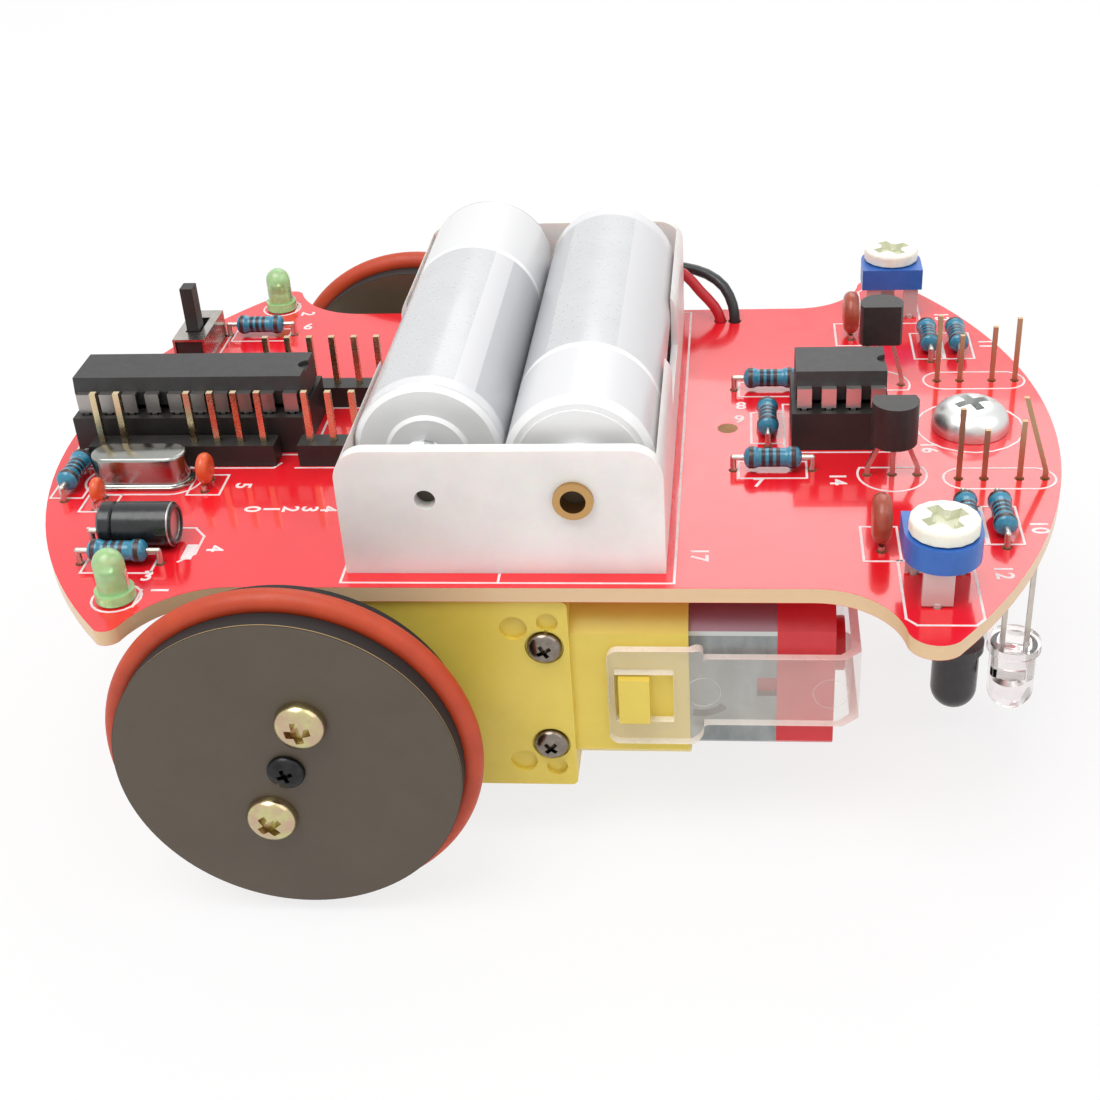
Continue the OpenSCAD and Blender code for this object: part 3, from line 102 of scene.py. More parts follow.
def add(tree: Tree, kind: str, settings: Optional[dict[str, Any]] = None,
        inputs: Optional[dict[Any, Any]] = None) -> bpy.types.Node:
    """Adds one node with its settings, values and links.

    Args:
        tree: The node tree of a material or the world.
        kind: The node type, without the prefix that all of them share.
        settings: Properties of the node.
        inputs: Socket name or number to a value, or to the socket it is linked from.

    Returns:
        The new node.
    """
    node = tree.nodes.new("ShaderNode" + kind)
    for key, value in (settings or {}).items():
        setattr(node, key, value)
    for key, value in (inputs or {}).items():
        if isinstance(value, Socket):
            tree.links.new(value, node.inputs[key])
        else:
            node.inputs[key].default_value = value
    return node


class Reading(Enum):
    """What a zone of a surface is measured by, in millimetres."""

    X = "X"
    Y = "Y"
    Z = "Z"
    SIDE = "distance from the middle plane"
    AXLE = "distance from the wheel axle"

    def socket(self, tree: Tree, place: Socket) -> Socket:
        """Gives the reading at a point of the surface.

        Args:
            tree: The material's tree.
            place: Object coordinates.

        Returns:
            A socket with the reading in metres.
        """
        if self is Reading.AXLE:
            flat = add(tree, "VectorMath", {"operation": "MULTIPLY_ADD"}, {
                0: place, 1: (1.0, 0.0, 1.0), 2: (-AXLE_X * MM, 0.0, -AXLE_Z * MM)})
            return add(tree, "VectorMath", {"operation": "LENGTH"}, {0: flat.outputs[0]}).outputs["Value"]
        split = add(tree, "SeparateXYZ", None, {0: place})
        if self is Reading.SIDE:
            return add(tree, "Math", {"operation": "ABSOLUTE"}, {0: split.outputs["Y"]}).outputs[0]
        return split.outputs[self.value]


@dataclass(frozen=True)
class Limit:
    """The stretch of one reading, from low to high in millimetres, that a zone takes."""

    reading: Reading
    low: float
    high: float

    def mask(self, tree: Tree, place: Socket) -> Socket:
        """Gives 1 inside the stretch and 0 outside it.

        Args:
            tree: The material's tree.
            place: Object coordinates.

        Returns:
            A socket with the mask.
        """
        value = self.reading.socket(tree, place)
        middle = (self.low + self.high) / 2 * MM
        half = (self.high - self.low) / 2 * MM
        return add(tree, "Math", {"operation": "COMPARE"}, {0: value, 1: middle, 2: half}).outputs[0]


@dataclass(frozen=True)
class Zone:
    """A part of a surface that has another colour, such as a band, an edge or a row of metal legs."""

    limits: tuple[Limit, ...]
    colour: str
    roughness: float
    metallic: float = 0.0

    def mask(self, tree: Tree, place: Socket) -> Socket:
        """Gives 1 where all of the zone's limits hold.

        Args:
            tree: The material's tree.
            place: Object coordinates.

        Returns:
            A socket with the mask.
        """
        made = self.limits[0].mask(tree, place)
        for limit in self.limits[1:]:
            made = add(tree, "Math", {"operation": "MULTIPLY"},
                       {0: made, 1: limit.mask(tree, place)}).outputs[0]
        return made


@dataclass(frozen=True)
class Finish:
    """A real material and the way its surface was made."""

    name: str
    colour: str
    shade: str
    roughness: float
    mottle_mm: float = 4.0
    grain_mm: float = 0.4
    grain_depth_mm: float = 0.004
    spread: float = 0.06
    stretch: Point = (1.0, 1.0, 1.0)
    metallic: float = 0.0
    ior: float = 1.5
    transmission: float = 0.0
    subsurface: float = 0.0
    subsurface_mm: float = 0.6
    coat: float = 0.0
    alpha: float = 1.0
    zones: tuple[Zone, ...] = ()

    def material(self) -> bpy.types.Material:
        """Makes the material once and gives the same one afterwards.

        Returns:
            The procedural material, on Object coordinates.
        """
        made = bpy.data.materials.get(self.name)
        if made is not None:
            return made
        made = bpy.data.materials.new(self.name)
        made.use_nodes = True
        tree = made.node_tree
        tree.nodes.clear()
        place = add(tree, "TexCoord").outputs["Object"]
        drawn = add(tree, "Mapping", None, {"Vector": place, "Scale": self.stretch}).outputs[0]
        blotch = add(tree, "TexNoise", None, {
            "Vector": drawn, "Scale": 1 / (self.mottle_mm * MM), **MOTTLE}).outputs[0]
        share = add(tree, "MapRange", None, {"Value": blotch, **MOTTLE_RANGE}).outputs[0]
        colour = add(tree, "Mix", {"data_type": "RGBA"}, {
            FACTOR: share, COLOUR_A: linear(self.colour), COLOUR_B: linear(self.shade)}).outputs[COLOUR_OUT]
        grain = add(tree, "TexNoise", None, {
            "Vector": drawn, "Scale": 1 / (self.grain_mm * MM), **GRAIN}).outputs[0]
        rough = add(tree, "MapRange", None, {
            "Value": grain, **GRAIN_RANGE, "To Min": max(self.roughness - self.spread, LEAST_ROUGHNESS),
            "To Max": self.roughness + self.spread}).outputs[0]
        bump = add(tree, "Bump", None, {
            "Height": grain, "Strength": 1.0, "Distance": self.grain_depth_mm * MM}).outputs[0]
        metal: Any = self.metallic
        for zone in self.zones:
            mask = zone.mask(tree, place)
            colour = add(tree, "Mix", {"data_type": "RGBA"}, {
                FACTOR: mask, COLOUR_A: colour, COLOUR_B: linear(zone.colour)}).outputs[COLOUR_OUT]
            rough = add(tree, "Mix", {"data_type": "FLOAT"},
                        {FACTOR: mask, FLOAT_A: rough, FLOAT_B: zone.roughness}).outputs[0]
            if any(z.metallic != self.metallic for z in self.zones):
                metal = add(tree, "Mix", {"data_type": "FLOAT"},
                            {FACTOR: mask, FLOAT_A: metal, FLOAT_B: zone.metallic}).outputs[0]
        shader = add(tree, "BsdfPrincipled", None, {
            "Base Color": colour, "Roughness": rough, "Normal": bump, "Metallic": metal,
            "Transmission Weight": self.transmission, "Subsurface Weight": self.subsurface,
            "Subsurface Scale": self.subsurface_mm * MM, "Coat Weight": self.coat, "Alpha": self.alpha})
        if self.metallic == 0.0:
            shader.inputs["IOR"].default_value = self.ior
        add(tree, "OutputMaterial", None, {"Surface": shader.outputs[0]})
        return made


X, Y, Z, SIDE, AXLE = Reading

# Phenolic paper board under red solder mask: a wet gloss that mirrors the white room, with a sawn tan edge
BOARD = Finish(
    "phenolic_board_red_mask", "#ee1f2b", "#e21925", 0.17, 9.0, 1.6, 0.004, 0.03, coat=0.55,
    zones=(Zone((Limit(Z, BOARD_TOP - BOARD_T + 0.03, BOARD_TOP - 0.03),), "#e2c096", 0.75),))
# Screen-printed epoxy ink: flat white with soft edges
INK = Finish("epoxy_ink_white", "#f2e6e6", "#e6d2d2", 0.55, 1.5, 0.2, 0.001)
# Copper tracks under the mask: the same red, a touch duller where the copper shows through
TRACK = Finish("masked_copper_red", "#e0303a", "#cf222c", 0.2, 3.0, 0.8, 0.004, coat=0.3)
# Wave-solder tin: bright, slightly grained metal
SOLDER = Finish("solder_tin", "#c4c6c8", "#b4b7ba", 0.3, 1.0, 0.25, 0.003, 0.1, metallic=1.0)
# Moulded glass-filled nylon of sockets, headers and the switch: dull black with a fine moulded grain
BLACK_NYLON = Finish("nylon_moulded_black", "#1d1b1a", "#262321", 0.48, 2.0, 0.25, 0.008)
# Transfer-moulded epoxy with tinned legs: charcoal, faintly sparkling; the legs are bright metal
LEGGED_CHIP = Finish(
    "epoxy_moulded_charcoal", "#2c2c2c", "#343434", 0.5, 1.2, 0.15, 0.01, 0.08,
    zones=(Zone((Limit(SIDE, 3.215, 9.0),), "#aba7a3", 0.36, 1.0),
           Zone((Limit(SIDE, 3.215, 9.0), Limit(X, 15.0, 45.0)), "#d8d3ce", 0.36, 1.0)))
# The same epoxy on small half-round packages
EPOXY = Finish("epoxy_moulded_black", "#201e1d", "#292625", 0.46, 1.0, 0.15, 0.008)
# Nickel-plated steel can of the crystal: bright with faint handling scratches
NICKEL_CAN = Finish("nickel_plated_steel", "#a5a6a1", "#9b9d99", 0.2, 2.0, 0.3, 0.0006, 0.05,
                    (0.25, 1.0, 1.0), metallic=1.0)
# Dipped ceramic: orange-brown resin with the slight runs of dipping
CERAMIC = Finish(
    "ceramic_dipped_brown", "#a8492f", "#93402b", 0.34, 1.2, 0.5, 0.02, 0.08, coat=0.2,
    zones=(Zone((Limit(X, -60, -30), Limit(Y, -40, 0)), "#dd5a2a", 0.34),))
# Shrink sleeve over an aluminium can: glossy black with a bare metal end
SLEEVE = Finish(
    "vinyl_sleeve_black", "#1b1c1e", "#232427", 0.22, 2.0, 0.6, 0.006,
    zones=(Zone((Limit(X, -35.26, -35.12),), "#b9b3b1", 0.35, 1.0),))
# Lacquered film resistor: glossy sky blue with painted rings
RESISTOR_BLUE = Finish("lacquer_film_blue", "#2f88a8", "#287895", 0.24, 1.0, 0.3, 0.002, coat=0.4)
RING_BROWN = Finish("lacquer_ring_brown", "#43302f", "#382828", 0.3, 0.6, 0.2, 0.001)
RING_BLACK = Finish("lacquer_ring_black", "#1e2027", "#262831", 0.3, 0.6, 0.2, 0.001)
# Tinned copper wire: pale metal; the sensors' long leads are gilt, and the trimmers' legs dull
TINNED = Finish(
    "tinned_copper_drawn", "#cfc8bf", "#c6beb4", 0.32, 1.6, 0.3, 0.0005, 0.05, metallic=1.0,
    zones=(Zone((Limit(X, 41.5, 60.0), Limit(SIDE, 8.0, 14.0),
                 Limit(Z, BOARD_TOP - 0.1, 60.0)), "#b39a78", 0.36, 1.0),
           Zone((Limit(X, 34.5, 43.5), Limit(SIDE, 27.0, 37.0)), "#d2cac6", 0.45, 0.45)))
# Silvered frame inside the lamps: white metal
SILVERED = Finish("silver_plated_stamping", "#e4e3e0", "#dad9d6", 0.3, 1.0, 0.3, 0.0005, 0.05, metallic=1.0)
# Diffused green epoxy: milky, lit from within
GREEN_LENS = Finish("epoxy_diffused_green", "#c8f4b8", "#bdeeac", 0.14, 1.0, 0.4, 0.0006, 0.04,
                    ior=1.54, transmission=0.45, subsurface=0.5, subsurface_mm=1.4)
# Water-clear epoxy: glass-like with its metal frame showing
CLEAR_LENS = Finish("epoxy_cast_clear", "#fbf6f5", "#f3ecec", 0.05, 2.0, 0.6, 0.001, 0.02,
                    ior=1.54, transmission=1.0)
# Dark infrared-pass epoxy: nearly black, glassy
DARK_LENS = Finish("epoxy_cast_dark", "#2b2a2c", "#323133", 0.2, 2.0, 0.6, 0.001, 0.04, ior=1.54)
# Gold flash on square brass pins: a pale, warm metal
GOLD = Finish("gold_flashed_brass", "#dccaa6", "#d4c199", 0.26, 1.6, 0.3, 0.0004, 0.04, metallic=1.0)
# Moulded polyester of the trimmers: strong blue, semi-gloss
BLUE = Finish("polyester_moulded_blue", "#2f68bb", "#2a60b0", 0.34, 2.0, 0.3, 0.003)
# Cream dial: waxy moulded plastic
CREAM = Finish("polyester_moulded_cream", "#f6f4e6", "#eeebda", 0.4, 1.5, 0.3, 0.003,
               subsurface=0.15)
# The same plastic in the dial's recess, painted darker and greenish: painted shade in the recess
CREAM_RECESS_SHADE = Finish("polyester_recess_painted_shade", "#e0e1cb", "#d5d7bd", 0.6, 1.0, 0.3, 0.003)
# Pressed switch frame: tin-plated sheet, softly reflecting
TIN_SHEET = Finish("tin_plated_sheet", "#bdbab4", "#aeaba4", 0.24, 1.5, 0.3, 0.001, 0.08, metallic=1.0)
# Cell holder: milky polypropylene that lets light in at its edges
HOLDER = Finish("polypropylene_moulded_white", "#f3efec", "#eae5e2", 0.36, 8.0, 0.6, 0.006,
                subsurface=0.35, subsurface_mm=1.5)
# Cell springs: plated piano wire, bright
SPRING = Finish("spring_wire_plated", "#c5c6c6", "#b6b7b8", 0.24, 1.0, 0.2, 0.001, metallic=1.0)
# Contact strips: nickel-plated, held by brass eyelets and rivets with flanges outside the walls; the
# contact faces at the near wall's outer face are painted dark, painted shade in the near eyelets' bores
CONTACT = Finish(
    "nickel_plated_strip", "#cbcac6", "#bdbcb8", 0.28, 1.0, 0.3, 0.001, 0.08, metallic=1.0,
    zones=(
        Zone((Limit(SIDE, 27.6, 40.0),), "#c39a64", 0.34, 1.0),
        # Painted shade: dark where the near eyelets' bores meet the wall's outer face
        Zone((Limit(Y, -BAY_HALF - 0.05, -BAY_HALF + 0.05),), "#4f473d", 0.6, 0.3)))
# Wheel discs: brown faced sheet, laser cut, with a charred edge and a pale line of facing paper
DISC = Finish(
    "laser_cut_sheet_brown", "#554a3d", "#52473a", 0.45, 5.0, 0.22, 0.003, 0.05,
    zones=(
        Zone((Limit(AXLE, 16.46, 17.5),), "#15110f", 0.7),
        Zone((Limit(AXLE, 16.46, 17.5), Limit(SIDE, 42.42, 42.53)), "#a58a5c", 0.7)))
# The core disc between them, bare charred edge
CORE = Finish("laser_cut_sheet_dark", "#1a1614", "#14110f", 0.7, 2.0, 0.3, 0.004)
# Rubber ring: orange-red, matt, with a dusty bloom
RUBBER = Finish("silicone_ring_orange", "#c0431f", "#b43c1b", 0.5, 4.0, 0.3, 0.004, 0.08)
# Yellow zinc on the wheel bolts: pale gold with a pink and green cast
YELLOW_ZINC = Finish("yellow_zinc_plated_steel", "#c8c48c", "#c4aa90", 0.22, 1.5, 0.3, 0.0006, 0.05,
                     metallic=1.0)
# Blackened self-tapping screw in the axle
BLACK_OXIDE = Finish("black_oxide_steel", "#3a3a3b", "#303031", 0.36, 0.8, 0.25, 0.001, 0.08, metallic=1.0)
# Darkened zinc on the gearbox screws: smoky grey with sharp lights
ZINC = Finish("zinc_plated_steel_smoky", "#8c837a", "#7a7067", 0.22, 0.9, 0.2, 0.001, 0.06, metallic=1.0)
# Polished nickel of the caster
POLISHED = Finish("nickel_polished", "#e2e3e1", "#dadcdb", 0.36, 2.0, 0.5, 0.0008, 0.05, metallic=1.0)
# Gearbox halves: moulded yellow plastic with a soft moulded skin
YELLOW = Finish("abs_moulded_yellow", "#e8d05c", "#e1c854", 0.36, 7.0, 0.35, 0.002, 0.05,
                subsurface=0.12, subsurface_mm=0.8)
# Nylon gears: ivory and waxy
NYLON = Finish("nylon_moulded_ivory", "#ece6d6", "#dfd8c6", 0.42, 2.0, 0.3, 0.008, subsurface=0.15)
# Foam tape: pale, porous
FOAM = Finish("foam_tape_pale", "#ece7da", "#dcd6c7", 0.9, 1.2, 0.4, 0.06)
# Motor can: zinc-plated deep-drawn steel, cloudy; its round top is painted dark red, a painted reflection
# and shade of the board above it, and a pale band along the top of its flat is a painted highlight
CAN = Finish(
    "zinc_plated_deep_drawn", "#9a9e9d", "#858a8a", 0.36, 3.0, 0.6, 0.0005, 0.05, (1.4, 1.4, 0.7),
    metallic=1.0,
    # Painted reflection and shade: the round top, dark red from the board above
    zones=(Zone((Limit(Z, 24.72, 30.0),), "#94727a", 0.42, 0.8),
           # Painted highlight: a pale line along the top edge of the flat
           Zone((Limit(Z, 24.2, 24.72),), "#c6c9c6", 0.4, 1.0)))
# Shaded openings of the can
CAN_SLOT = Finish("steel_opening_shaded", "#4d494a", "#565253", 0.6, 1.0, 0.3, 0.0005, metallic=0.4)
# Motor end cap: red nylon
RED_CAP = Finish("nylon_moulded_red", "#d8323a", "#ce2a32", 0.36, 4.0, 0.3, 0.002, subsurface=0.1)
# Strap: thin clear moulding with a faint haze over what lies behind it
STRAP = Finish("polycarbonate_thin_clear", "#f4f1ea", "#ece8e0", 0.16, 6.0, 1.2, 0.0004, 0.04,
               ior=1.58, alpha=0.2)
# Its cut edges and the rings of its real moulding marks: painted highlights, pale and more opaque, for the
# light that the edges gather
STRAP_EDGE_HIGHLIGHT = Finish("polycarbonate_edge_painted_highlight", "#fffaf2", "#faf2e8", 0.3, 2.0, 0.6, 0.0004, 0.05,
                    ior=1.58, alpha=0.85)
STRAP_MARK_HIGHLIGHT = Finish("polycarbonate_ejector_mark_painted_highlight", "#fbf6ee", "#f4eee6", 0.3, 2.0, 0.6, 0.0004, 0.05,
                    ior=1.58, alpha=0.16)
# Copper windings on a steel stack
ROTOR = Finish("copper_wound_stack", "#b0703f", "#7f756c", 0.4, 0.9, 0.3, 0.03, metallic=1.0)
# Wire insulation: soft glossy vinyl
RED_VINYL = Finish("vinyl_wire_red", "#c41f2a", "#b51a25", 0.34, 2.0, 0.4, 0.006)
BLACK_VINYL = Finish("vinyl_wire_black", "#202224", "#292b2e", 0.34, 2.0, 0.4, 0.006)


def wrap(name: str, bands: Sequence[tuple[float, float, str, float]],
         stripes: Sequence[tuple[float, float, float, float, str]]) -> Finish:
    """Makes a printed cell wrap from plain bands and lengthways stripes, some of them painted light and
    shade.

    Args:
        name: The material's name.
        bands: From y, to y, colour and metal share of each band round the cell.
        stripes: From x, to x, from y, to y and colour of each stripe along it.

    Returns:
        The finish, on a mid-grey metallised film.
    """
    zones = [Zone((Limit(X, x0, x1), Limit(Y, y0, y1)), tone, 0.3)
             for x0, x1, y0, y1, tone in stripes]
    zones += [Zone((Limit(Y, y0, y1),), tone, 0.26, metal) for y0, y1, tone, metal in bands]
    return Finish(name, "#c6c7c9", "#c1c2c4", 0.3, 6.0, 0.5, 0.0003, 0.04, coat=0.2, zones=tuple(zones))


# Cell wraps: metallised film with plain bands, between bare nickel ends; the near ends are painted
# near-white and not metallic, painted light where the holder's wall shades them, and the darker lengthways
# stripes where the two cells face each other are painted shade
REAR_WRAP = wrap(
    "film_wrap_rear_cell",
    # Near end band: near-white and not metallic, painted light on an end that the holder's wall shades
    [(-30, -22.55, "#efefef", 0.0), (-22.55, -20.9, "#dcdcde", 0.0), (10.9, 11.8, "#f8f8f8", 0.0),
     (11.8, 24.9, "#dededf", 0.0), (24.9, 30, "#cfcfcf", 0.6)],
    # The darker stripe, on the side that faces the front cell, is painted shade between the cells
    [(-6.3, -4.4, -20.9, 10.9, "#d4d4d6"), (-4.4, 2, -20.9, 10.9, "#babbbe")])
FRONT_WRAP = wrap(
    "film_wrap_front_cell",
    # Near end band: near-white and not metallic, painted light on an end that the holder's wall shades
    [(-30, -24.9, "#efefef", 0.0), (-24.9, -14.7, "#dadadc", 0.0), (-14.7, -13.8, "#f8f8f8", 0.0),
     (20.2, 22.6, "#dedee0", 0.0), (22.6, 30, "#cfcfcf", 0.6)],
    # The darker stripe, on the side that faces the rear cell, is painted shade between the cells
    [(-2, 1.6, -13.8, 20.2, "#b4b5b8"), (8.6, 13, -13.8, 20.2, "#d0d0d2")])


def dress(finish: Finish, *nodes: str) -> None:
    """Puts a finish on the material slots of CAD nodes.

    Args:
        finish: The finish.
        nodes: Names of the nodes.
    """
    for name in nodes:
        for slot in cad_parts[name].material_slots:
            slot.material = finish.material()
        LOG.info("dressed %s in %s", name, finish.name)


def settle(name: str, bm: Mesh) -> bpy.types.Mesh:
    """Turns a bmesh into mesh data and frees it.

    Args:
        name: The name of the data.
        bm: The bmesh.

    Returns:
        The mesh data.
    """
    mesh = bpy.data.meshes.new(name)
    bm.to_mesh(mesh)
    bm.free()
    return mesh


def link(name: str, data: bpy.types.ID) -> bpy.types.Object:
    """Makes an object of some data and links it to the scene.

    Args:
        name: The object's name.
        data: Its mesh, curve, lamp or camera.

    Returns:
        The new object.
    """
    made = bpy.data.objects.new(name, data)
    bpy.context.scene.collection.objects.link(made)
    return made


def ease(bm: Mesh, verts: Sequence[bmesh.types.BMVert], offset: float) -> None:
    """Rounds every edge that meets some points.

    Args:
        bm: The mesh.
        verts: The points.
        offset: How far the rounding reaches in millimetres.
    """
    edges = list({e for v in verts for e in v.link_edges})
    bmesh.ops.bevel(bm, geom=edges, offset=offset * MM, offset_type="OFFSET", segments=2, profile=0.5,
                    affect="EDGES", material=-1)


def piece(name: str, bm: Mesh, finishes: Sequence[Finish],
          body: str = CHASSIS) -> bpy.types.Object:
    """Turns a bmesh into a piece that rides on a body.

    Args:
        name: The piece's name.
        bm: Its mesh in metres, in the part's frame; it is freed.
        finishes: One finish for each material number of the mesh.
        body: The body that carries it.

    Returns:
        The new object.
    """
    bmesh.ops.recalc_face_normals(bm, faces=bm.faces)
    for edge in bm.edges:
        edge.smooth = edge.calc_face_angle(math.pi) < SMOOTH_BELOW
    mesh = settle(name, bm)
    for finish in finishes:
        mesh.materials.append(finish.material())
    made = link(name, mesh)
    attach(made, body)
    LOG.info("built %s with %d faces", name, len(mesh.polygons))
    return made


def box(bm: Mesh, low: Point, high: Point, turn: float = 0.0) -> list[bmesh.types.BMVert]:
    """Adds a box.

    Args:
        bm: The mesh.
        low: Lowest corner in millimetres, before the turn.
        high: Highest corner in millimetres, before the turn.
        turn: Turn about the vertical through the box's middle, in degrees.

    Returns:
        The box's vertices.
    """
    middle = (Vector(low) + Vector(high)) / 2
    span = (Vector(high) - Vector(low)) * MM
    place = at(*middle) @ turned(turn) @ Matrix.Diagonal((*span, 1.0))
    return bmesh.ops.create_cube(bm, size=1.0, matrix=place)["verts"]


def strip(bm: Mesh, start: Pair, end: Pair, width: float, low: float, high: float) -> None:
    """Adds a flat strip from one place to another, half its width longer at each end.

    Args:
        bm: The mesh.
        start: First place in millimetres.
        end: Last place in millimetres.
        width: Its width in millimetres.
        low: Height of its underside in millimetres.
        high: Height of its top in millimetres.
    """
    (x0, y0), (x1, y1) = start, end
    x, y, w = (x0 + x1) / 2, (y0 + y1) / 2, width / 2
    long = math.hypot(x1 - x0, y1 - y0) / 2 + w
    box(bm, (x - long, y - w, low), (x + long, y + w, high), math.degrees(math.atan2(y1 - y0, x1 - x0)))


def lathe(bm: Mesh, profile: Sequence[Pair], place: Matrix, steps: int) -> list[Face]:
    """Spins a profile into a closed turned shape.

    Args:
        bm: The mesh.
        profile: Height and radius of each point in millimetres; the first and last radius are 0.
        place: Where the turned shape goes; its own axis is Z.
        steps: Facets round the axis.

    Returns:
        The new faces.
    """
    before = set(bm.faces)
    verts = [bm.verts.new((r * MM, 0.0, h * MM)) for h, r in profile]
    edges = [bm.edges.new(pair) for pair in zip(verts, verts[1:])]
    bmesh.ops.spin(bm, geom=verts + edges, cent=(0, 0, 0), axis=(0, 0, 1), dvec=(0, 0, 0),
                   angle=math.tau, steps=steps, use_merge=True, use_duplicate=False)
    faces = [f for f in bm.faces if f not in before]
    fresh = list({v for f in faces for v in f.verts})
    bmesh.ops.remove_doubles(bm, verts=fresh, dist=SAME_POINT)
    faces = [f for f in bm.faces if f not in before]
    fresh = list({v for f in faces for v in f.verts})
    bmesh.ops.transform(bm, matrix=place, verts=fresh)
    for f in faces:
        f.smooth = True
    return faces


def ring(bm: Mesh, place: Matrix, r: float, width: float, high: float, start: float = 0.0,
         sweep: float = 360.0, steps: int = 20) -> list[Face]:
    """Adds a flat ring, or a part of one, that stands on the frame's XY plane.

    Args:
        bm: The mesh.
        place: The ring's frame; its axis is Z.
        r: Radius of the ring's middle line in millimetres.
        width: Width of the ring in millimetres.
        high: Height of the ring in millimetres.
        start: First angle in degrees.
        sweep: Angle that it spans in degrees.
        steps: Facets along the ring.

    Returns:
        The new faces.
    """
    before = set(bm.faces)
    corners = ((-width / 2, 0), (width / 2, 0), (width / 2, high), (-width / 2, high))
    verts = [bm.verts.new(turned(start) @ Vector(((r + out) * MM, 0.0, up * MM))) for out, up in corners]
    geom: list[Any] = [*verts, *(bm.edges.new((verts[i], verts[(i + 1) % 4])) for i in range(4))]
    whole = abs(sweep) >= 360
    if not whole:
        geom.append(bm.faces.new(verts))
    bmesh.ops.spin(bm, geom=geom, cent=(0, 0, 0), axis=(0, 0, 1), dvec=(0, 0, 0), angle=math.radians(sweep),
                   steps=steps, use_merge=whole, use_duplicate=False)
    faces = [f for f in bm.faces if f not in before]
    bmesh.ops.transform(bm, matrix=place, verts=list({v for f in faces for v in f.verts}))
    return faces


@dataclass
class Studio:
    """The camera at the photograph's angle, soft lamps, a pale floor and a white room."""

    camera_mm: Point = (20.64, -158.40, 115.82)
    pitch: float = 32.18
    yaw: float = -6.22
    roll: float = -3.26
    focal_px: float = 1642.91
    middle_px: float = 590.0
    frame_px: float = 1100.0
    sensor_mm: float = 36.0
    aim_m: Point = (0.0, 0.0, 0.02)
    floor_m: float = 6.0
    floor_drop_mm: float = 0.02
    floor_tone: float = 0.86
    floor_glow: float = 0.8
    room_light: float = 0.55

    def build(self) -> None:
        """Builds the camera, lamps, floor and room."""
        self.camera()
        self.lamp("key_lamp", (-0.2, -0.24, 0.72), 0.5, 3.6)
        self.lamp("fill_lamp", (0.5, -0.2, 0.55), 0.6, 1.2)
        self.lamp("back_lamp", (0.1, 0.6, 0.6), 0.5, 1.6)
        self.floor()
        self.room()
        bpy.context.scene.view_settings.view_transform = "Standard"

    def camera(self) -> None:
        """Sets the camera from the fitted place, angles and focal length."""
        pitch, yaw, roll = (math.radians(a) for a in (self.pitch, self.yaw, self.roll))
        ahead = Vector((math.sin(yaw) * math.cos(pitch), math.cos(yaw) * math.cos(pitch), -math.sin(pitch)))
        level = Vector((math.cos(yaw), -math.sin(yaw), 0.0))
        above = level.cross(ahead)
        right = level * math.cos(roll) + above * math.sin(roll)
        up = above * math.cos(roll) - level * math.sin(roll)
        data = bpy.data.cameras.new("camera")
        data.sensor_width = self.sensor_mm
        data.lens = self.focal_px / self.frame_px * self.sensor_mm
        data.shift_x = (self.frame_px / 2 - self.middle_px) / self.frame_px
        data.clip_start = 0.01
        made = link("camera", data)
        turn = Matrix((right, up, -ahead)).transposed()
        made.matrix_world = at(*self.camera_mm) @ turn.to_4x4()
        bpy.context.scene.camera = made

    def lamp(self, name: str, place: Point, size: float, watts: float) -> None:
        """Adds a square soft lamp that looks at the robot.

        Args:
            name: The lamp's name.
            place: Where it hangs, in metres.
            size: Its side in metres.
            watts: Its power.
        """
        data = bpy.data.lights.new(name, "AREA")
        data.size = size
        data.energy = watts
        made = link(name, data)
        way = Vector(self.aim_m) - Vector(place)
        made.matrix_world = Matrix.Translation(place) @ way.to_track_quat("-Z", "Y").to_matrix().to_4x4()

    def floor(self) -> None:
        """Lays a pale floor that is white to the camera but for the robot's soft shadow."""
        bm = bmesh.new()
        bmesh.ops.create_grid(bm, x_segments=1, y_segments=1, size=self.floor_m / 2)
        bmesh.ops.translate(bm, vec=(0, 0, -self.floor_drop_mm * MM), verts=bm.verts)
        mesh = settle("floor", bm)
        made = link("floor", mesh)
        paper = bpy.data.materials.new("paper_backdrop_white")
        paper.use_nodes = True
        tree = paper.node_tree
        tree.nodes.clear()
        lit = add(tree, "BsdfDiffuse", None, {"Color": (*[self.floor_tone] * 3, 1.0)})
        glow = add(tree, "Emission", None, {"Strength": 1.0})
        seen = add(tree, "Math", {"operation": "MULTIPLY"}, {0: self.seen(tree), 1: self.floor_glow})
        blend = add(tree, "MixShader", None,
                    {0: seen.outputs[0], 1: lit.outputs[0], 2: glow.outputs[0]})
        add(tree, "OutputMaterial", None, {"Surface": blend.outputs[0]})
        mesh.materials.append(paper)

    @staticmethod
    def seen(tree: Tree) -> Socket:
        """Gives 1 for what the camera sees straight, in a mirror or through glass.

        Args:
            tree: The tree of the floor or the world.

        Returns:
            A socket with the mask.
        """
        path = add(tree, "LightPath")
        direct = add(tree, "Math", {"operation": "ADD", "use_clamp": True}, {
            0: path.outputs["Is Camera Ray"], 1: path.outputs["Is Glossy Ray"]})
        return add(tree, "Math", {"operation": "ADD", "use_clamp": True}, {
            0: direct.outputs[0], 1: path.outputs["Is Transmission Ray"]}).outputs[0]

    def room(self) -> None:
        """Makes the world white to look at and softer as a light."""
        world = bpy.data.worlds.new("white_room")
        world.use_nodes = True
        tree = world.node_tree
        tree.nodes.clear()
        light = add(tree, "Background", None, {"Strength": self.room_light})
        white = add(tree, "Background", None, {"Strength": 1.0})
        for node in (light, white):
            node.inputs["Color"].default_value = (1.0, 1.0, 1.0, 1.0)
        blend = add(tree, "MixShader", None,
                    {0: self.seen(tree), 1: light.outputs[0], 2: white.outputs[0]})
        add(tree, "OutputWorld", None, {"Surface": blend.outputs[0]})
        bpy.context.scene.world = world


